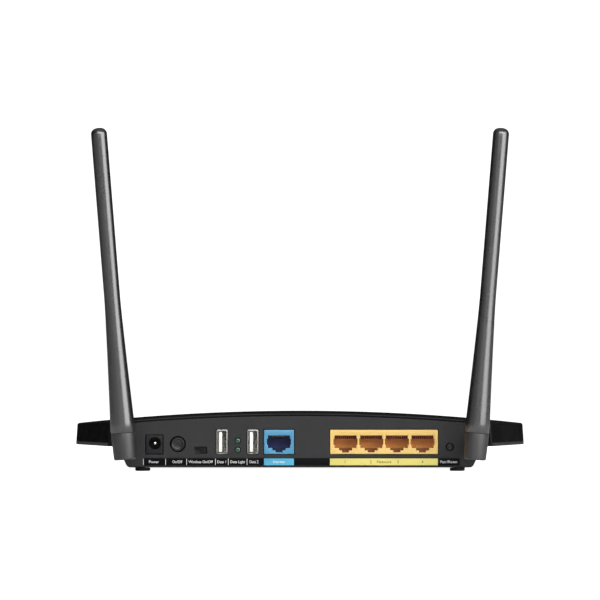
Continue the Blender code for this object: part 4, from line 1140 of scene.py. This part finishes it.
def contactWires(x):
    # eight round-edged springs: along the ceiling, then bent down and back towards the rear
    path = softened([(1.5, 19.15), (3.2, 19.1), (11.6, 17.6), (12.0, 17.6)], 0.8, 5)
    tangent = unit(np.gradient(path, axis=0))
    normal = np.stack([-tangent[:, 1], tangent[:, 0]], -1)
    angle = np.linspace(0, 2 * np.pi, 10, endpoint=False)
    across, lift = 0.22 * np.cos(angle), 0.14 * np.sin(angle)
    shapes = []
    for i in range(8):
        middle = x + (i - 3.5) * port["pitch"]
        yz = path[:, None] + normal[:, None] * lift[None, :, None]
        rings = np.stack([np.broadcast_to(middle + across, yz.shape[:2]), yz[..., 0], yz[..., 1]], -1) * mm
        shapes.append(placed(loft(rings), at=(0, portFace, 0)))
    return merged(shapes)


socketSpecs = {
    "internet": ("blue", ["internet_socket"], "blue_plastic", ["internet_contacts"]),
    "lan": ("orange", ["lan_socket_block"], "orange_plastic", [f"lan_contacts_{i}" for i in (1, 2, 3, 4)]),
}
for name, (finish, nodes, slot, contacts) in socketSpecs.items():
    socket = sockets[name]
    half = ((socket["half"]) * mm, (socketZ[1] - socketZ[0]) / 2 * mm)
    outline = roundedBox(*half, 0.4 * mm, 4, socket["x"] * mm, sum(socketZ) / 2 * mm)
    rounds = [(0.3, 0.0), (0.1, 0.08), (0.0, 0.3), (0.0, 15.9)]
    block = stacked([grown(outline, -g * mm) for g, _ in rounds], [portFace + y * mm for _, y in rounds])
    mouths, combs = socketCavities(socket["centres"])
    addPiece(name + "Socket", block, finishes[finish], "case", nodes, 30,
             [("DIFFERENCE", mouths), ("DIFFERENCE", combs)])
    for contact, x in zip(contacts, socket["centres"]):
        addPiece(contact.title().replace("_", "") + "Wires", contactWires(x), finishes["gold"], "case",
                 [contact], 40)
print("network sockets made")


# Antennas

antenna = {
    "x": 95, "z": 14.5, "pin": -22, "lean": 4.6, "tip": 172.2, "seam": 6.9, "foot": -7.6,
    "base": 6.6, "whip": 4.35, "flare": (12, 80), "dome": 3.4, "wall": 1.2,
}


def antennaAxes(sign):
    # an antenna's own axes: fold pin along X, whip along Z, leaning outwards
    at = Matrix.Translation((sign * antenna["x"] * mm, panelY + antenna["pin"] * mm, antenna["z"] * mm))
    return at @ Matrix.Rotation(sign * math.radians(antenna["lean"]), 4, "Y")


def whipRadius(height):
    low, high = antenna["flare"]
    share = np.clip((high - height) / (high - low), 0, 1)
    return antenna["whip"] + (antenna["base"] - antenna["whip"]) * share ** 1.3


def radomeProfile():
    # up the inside from the foot, shut under the tip, then over the dome and down the outside
    heights = np.concatenate([[antenna["seam"] + 0.2], np.linspace(*antenna["flare"], 18),
                              np.linspace(90, 166, 12)])
    inside = np.stack([whipRadius(heights) - antenna["wall"], heights], -1)
    top = antenna["tip"] - antenna["dome"]
    tilt = np.linspace(0, 1.55, 14)
    dome = np.stack([antenna["whip"] * np.cos(tilt) ** 0.8, top + antenna["dome"] * np.sin(tilt)], -1)
    outside = np.stack([whipRadius(heights), heights], -1)
    outside[0, 0] -= 0.12
    outside = np.vstack([outside[:1], [[whipRadius(7.3), antenna["seam"] + 0.35]], outside[1:]])
    return np.vstack([[[0.05, 166.2]], inside[::-1], outside, dome, [[0.02, antenna["tip"]]]])


def yokeProfile():
    foot, seam = antenna["foot"], antenna["seam"]
    rows = [(0.1, foot), (5.35, foot), (6.05, foot + 0.65), (6.32, 0), (6.6, seam - 0.12), (6.48, seam),
            (4.9, seam),
            (4.9, seam + 6.8), (4.7, seam + 7), (0.1, seam + 7)]
    return softened(rows, 0.25, 4)


def yokeCuts():
    # the fork's slot, the front corner that swings past the sleeve, and the blind bearing
    slot = prism(np.array([(-4.9, -10), (10, -10), (10, 4.9), (-4.9, 4.9)]) * mm, -2.7 * mm, 2.7 * mm, "X")
    arc = np.linspace(0, -np.pi / 2, 25)
    corner = np.vstack([7.6 * np.stack([np.cos(arc), np.sin(arc)], -1), [(0, -12), (12, -12), (12, 0)]]) * mm
    bearing = prism(circle(2.5 * mm, 40), -5.5 * mm, 5.5 * mm, "X")
    return slot, prism(corner, -9 * mm, 9 * mm, "X"), bearing


def knuckleShapes():
    profile = [(0.1, 12.4), (2.9, 12.4), (3.175, 12.1), (3.175, 9.3), (5.3, 9.3), (5.5, 9.1), (5.5, 8.2),
               (5.3, 8.0), (0.1, 8.0)]
    spigot = turned(softened(np.array(profile) * mm, 0.12 * mm, 3), 64, "Y")
    angle = np.linspace(np.pi / 2, 3 * np.pi / 2, 33)
    outline = np.vstack([[(8.5, 4.5)], 4.5 * np.stack([np.cos(angle), np.sin(angle)], -1),
                         [(8.5, -4.5)]]) * mm
    tongue = prism(outline, -2.4 * mm, 2.4 * mm, "X", 0.25 * mm, 3)
    axle = prism(circle(2.2 * mm, 48), -5.2 * mm, 5.2 * mm, "X", 0.2 * mm)
    return spigot, tongue, axle


def sleeveShape():
    # coupling nut: fine axial flutes that fade out at both plain rims, round a bore
    rows = np.array([(3.5, -12.4, 0), (5.15, -12.4, 0), (5.45, -12.1, 0), (5.5, -11.4, 0),
                     (5.5, -10.9, 0.2), (5.5, -10.4, 1),
                     (5.5, -2.6, 1), (5.5, -2.1, 0.2), (5.5, -1.6, 0), (5.45, -0.9, 0), (5.15, -0.6, 0),
                     (3.5, -0.6, 0)])
    angle = np.linspace(0, 2 * np.pi, 288, endpoint=False)
    flute = 0.32 * (0.5 - 0.5 * np.cos(36 * angle)) ** 0.7
    radius = (rows[:, :1] - rows[:, 2:] * flute) * mm
    y = np.repeat(rows[:, 1:2], len(angle), 1) * mm
    return loft(np.stack([radius * np.cos(angle), y, radius * np.sin(angle)], -1), "joined")


def jackShape():
    # hollow crimp at the rear, shoulder, and a threaded front
    turns = np.arange(0, 42)
    thread = np.stack([3.175 - 0.22 * (turns % 2), 4.0 - turns * 0.31], -1)
    rows = [(0.1, 11), (2.2, 11), (2.4, 10.8), (2.4, 6), (3.9, 6), (3.9, 4.4), (3.175, 4.4)]
    return turned(np.vstack([rows, thread, [(2.8, -9.0), (0.1, -9.0)]]) * mm, 56, "Y")


for side, sign in sides.items():
    axes = antennaAxes(sign)
    title = side.title()
    base, whip = f"{side}_antenna_base", f"{side}_antenna_whip"
    root = (sign * antenna["x"] * mm, panelY, antenna["z"] * mm)
    addPiece(f"antennaJack{title}", placed(jackShape(), at=root), finishes["gold"], "case",
             [f"{side}_antenna_jack"], 60)
    addPiece(f"antennaSleeve{title}", placed(sleeveShape(), at=root), finishes["yoke"], "case",
             [f"{side}_antenna_sleeve"], 40)
    spigot, tongue, axle = (placed(s, axes) for s in knuckleShapes())
    addPiece(f"antennaKnuckle{title}", spigot, finishes["yoke"], base, [f"{side}_antenna_knuckle"],
             35, [("UNION", tongue), ("UNION", axle)])
    cuts = [("DIFFERENCE", placed(s, axes)) for s in yokeCuts()]
    addPiece(f"antennaYoke{title}", placed(turned(yokeProfile() * mm, 96), axes), finishes["yoke"], whip,
             [f"{side}_antenna_yoke"], 35, cuts)
    addPiece(f"antennaRadome{title}", placed(turned(radomeProfile() * mm, 96), axes), finishes["antenna"],
             whip, [f"{side}_antenna_radome"], 40)
print("antennas made")


# Parts kept from the frame

keptFinishes = {
    "guide": ["status_light_guide"],
    "board": ["circuit_board"],
    "chip": ["main_processor", "lan_transformer", "power_filter_capacitor", "power_switch_body",
             "wireless_switch_body", "reset_switch_body"],
    "sink": ["processor_heat_sink"],
    "steel": ["radio_shield_can"] + [f"board_screw_{i}" for i in (1, 2, 3, 4)],
    "gold": [f"{side}_antenna_radiator" for side in sides],
    "cable": [f"{side}_antenna_pigtail" for side in sides],
}
for finish, names in keptFinishes.items():
    for name in names:
        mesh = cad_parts[name].data
        mesh.materials.clear()
        mesh.materials.append(finishes[finish])
print("kept parts finished")


# Studio

studio = {
    "distance": 3.0,
    "height": 0.0932,
    "lens": 330.9,
    "key": {"azimuth": 50, "distance": 1.4, "height": 0.4, "size": (1.3, 1.2), "watts": 20},
    "top": {"height": 1.6, "size": (2.4, 2.4), "watts": 3.6},
    "left": {"azimuth": -70, "distance": 1.6, "height": 0.5, "size": (0.5, 1.0), "watts": 0.4},
    "ambient": (0.003, 0.1),  # at the horizon and overhead
    "fill": {"azimuth": -25, "distance": 1.8, "height": 0.35, "size": (2.4, 1.6), "watts": 3},
    "front": {"azimuth": 5, "distance": 1.5, "height": 0.95, "size": (1.6, 0.9), "watts": 22},
    "aimHeight": 0.06,
    "backdrop": 1.2,  # how bright the surroundings look to the camera
    "floor": {"rows": 25, "half": 20, "tones": ((0.86, 0.86, 0.86), (0.89, 0.89, 0.89)), "glow": 1.0},
}


def areaLight(name, place, size, watts):
    # aims at the middle of the object
    lamp = bpy.data.lights.new(name, "AREA")
    lamp.shape, lamp.size, lamp.size_y = "RECTANGLE", *size
    lamp.energy = watts
    made = bpy.data.objects.new(name, lamp)
    bpy.context.scene.collection.objects.link(made)
    back = np.array(place) - (0, 0, studio["aimHeight"])
    made.matrix_world = Matrix.Translation(place) @ Vector(back).to_track_quat("Z", "Y").to_matrix().to_4x4()
    return made


def besideCamera(spec):
    angle = math.radians(spec["azimuth"])
    return (math.sin(angle) * spec["distance"], -math.cos(angle) * spec["distance"], spec["height"])


def makeFloor():
    # wide flat pale floor
    spec = studio["floor"]
    n = spec["rows"]
    across = np.linspace(-spec["half"], spec["half"], n)
    points = np.stack([np.tile(across, n), np.repeat(across, n), np.zeros(n * n)], -1)
    i, j = np.meshgrid(np.arange(n - 1), np.arange(n - 1), indexing="ij")
    faces = np.stack([i * n + j, i * n + j + 1, (i + 1) * n + j + 1, (i + 1) * n + j], -1).reshape(-1, 4)
    mesh = bpy.data.meshes.new("paleFloor")
    mesh.from_pydata(points.tolist(), [], faces.tolist())
    mesh.shade_smooth()
    floor = bpy.data.objects.new("paleFloor", mesh)
    bpy.context.scene.collection.objects.link(floor)
    made, tree, shader = makeMaterial("paleFloor", Roughness=0.9)
    tone = useGroup(tree, "grain", Size=300.0)["Tone"]
    tree.links.new(mixed(tree, tone, *spec["tones"]), shader.inputs["Base Color"])
    seen = node(tree, "ShaderNodeLightPath").outputs["Is Camera Ray"]
    glow = node(tree, "ShaderNodeEmission", {"Color": (1, 1, 1, 1),
                                             "Strength": maths(tree, "MULTIPLY", seen, spec["glow"])})
    both = node(tree, "ShaderNodeAddShader", {0: shader.outputs[0], 1: glow.outputs[0]})
    beneath = node(tree, "ShaderNodeNewGeometry").outputs["Backfacing"]
    clear = node(tree, "ShaderNodeBsdfTransparent").outputs[0]
    surface = node(tree, "ShaderNodeMixShader", {0: beneath, 1: both.outputs[0], 2: clear})
    tree.links.new(surface.outputs[0], tree.nodes["Material Output"].inputs["Surface"])
    mesh.materials.append(made)


def makeWorld():
    world = bpy.data.worlds.new("softStudio")
    world.use_nodes = True
    tree = world.node_tree
    background = tree.nodes["Background"]
    seen = node(tree, "ShaderNodeLightPath").outputs["Is Camera Ray"]
    way = node(tree, "ShaderNodeSeparateXYZ", {0: node(tree, "ShaderNodeTexCoord").outputs["Generated"]})
    low, high = studio["ambient"]
    sky = node(tree, "ShaderNodeMapRange", {"Value": way.outputs["Z"], "To Min": low,
                                            "To Max": high}).outputs[0]
    bright = maths(tree, "ADD", maths(tree, "MULTIPLY", seen, studio["backdrop"]), sky)
    background.inputs["Color"].default_value = (1, 1, 1, 1)
    tree.links.new(bright, background.inputs["Strength"])
    bpy.context.scene.world = world


def makeCamera():
    view = bpy.data.cameras.new("camera")
    view.lens, view.sensor_width, view.clip_end = studio["lens"], 36, 50
    camera = bpy.data.objects.new("camera", view)
    camera.location = (0, panelY - studio["distance"], studio["height"])
    camera.rotation_euler = (math.pi / 2, 0, 0)
    bpy.context.scene.collection.objects.link(camera)
    bpy.context.scene.camera = camera
    bpy.context.scene.view_settings.view_transform = "Standard"


makeFloor()
makeWorld()
for name in ("key", "left", "fill", "front"):
    spec = studio[name]
    areaLight(name + "Light", besideCamera(spec), spec["size"], spec["watts"])
areaLight("topLight", (0, 0, studio["top"]["height"]), studio["top"]["size"], studio["top"]["watts"])
makeCamera()
print("studio set")
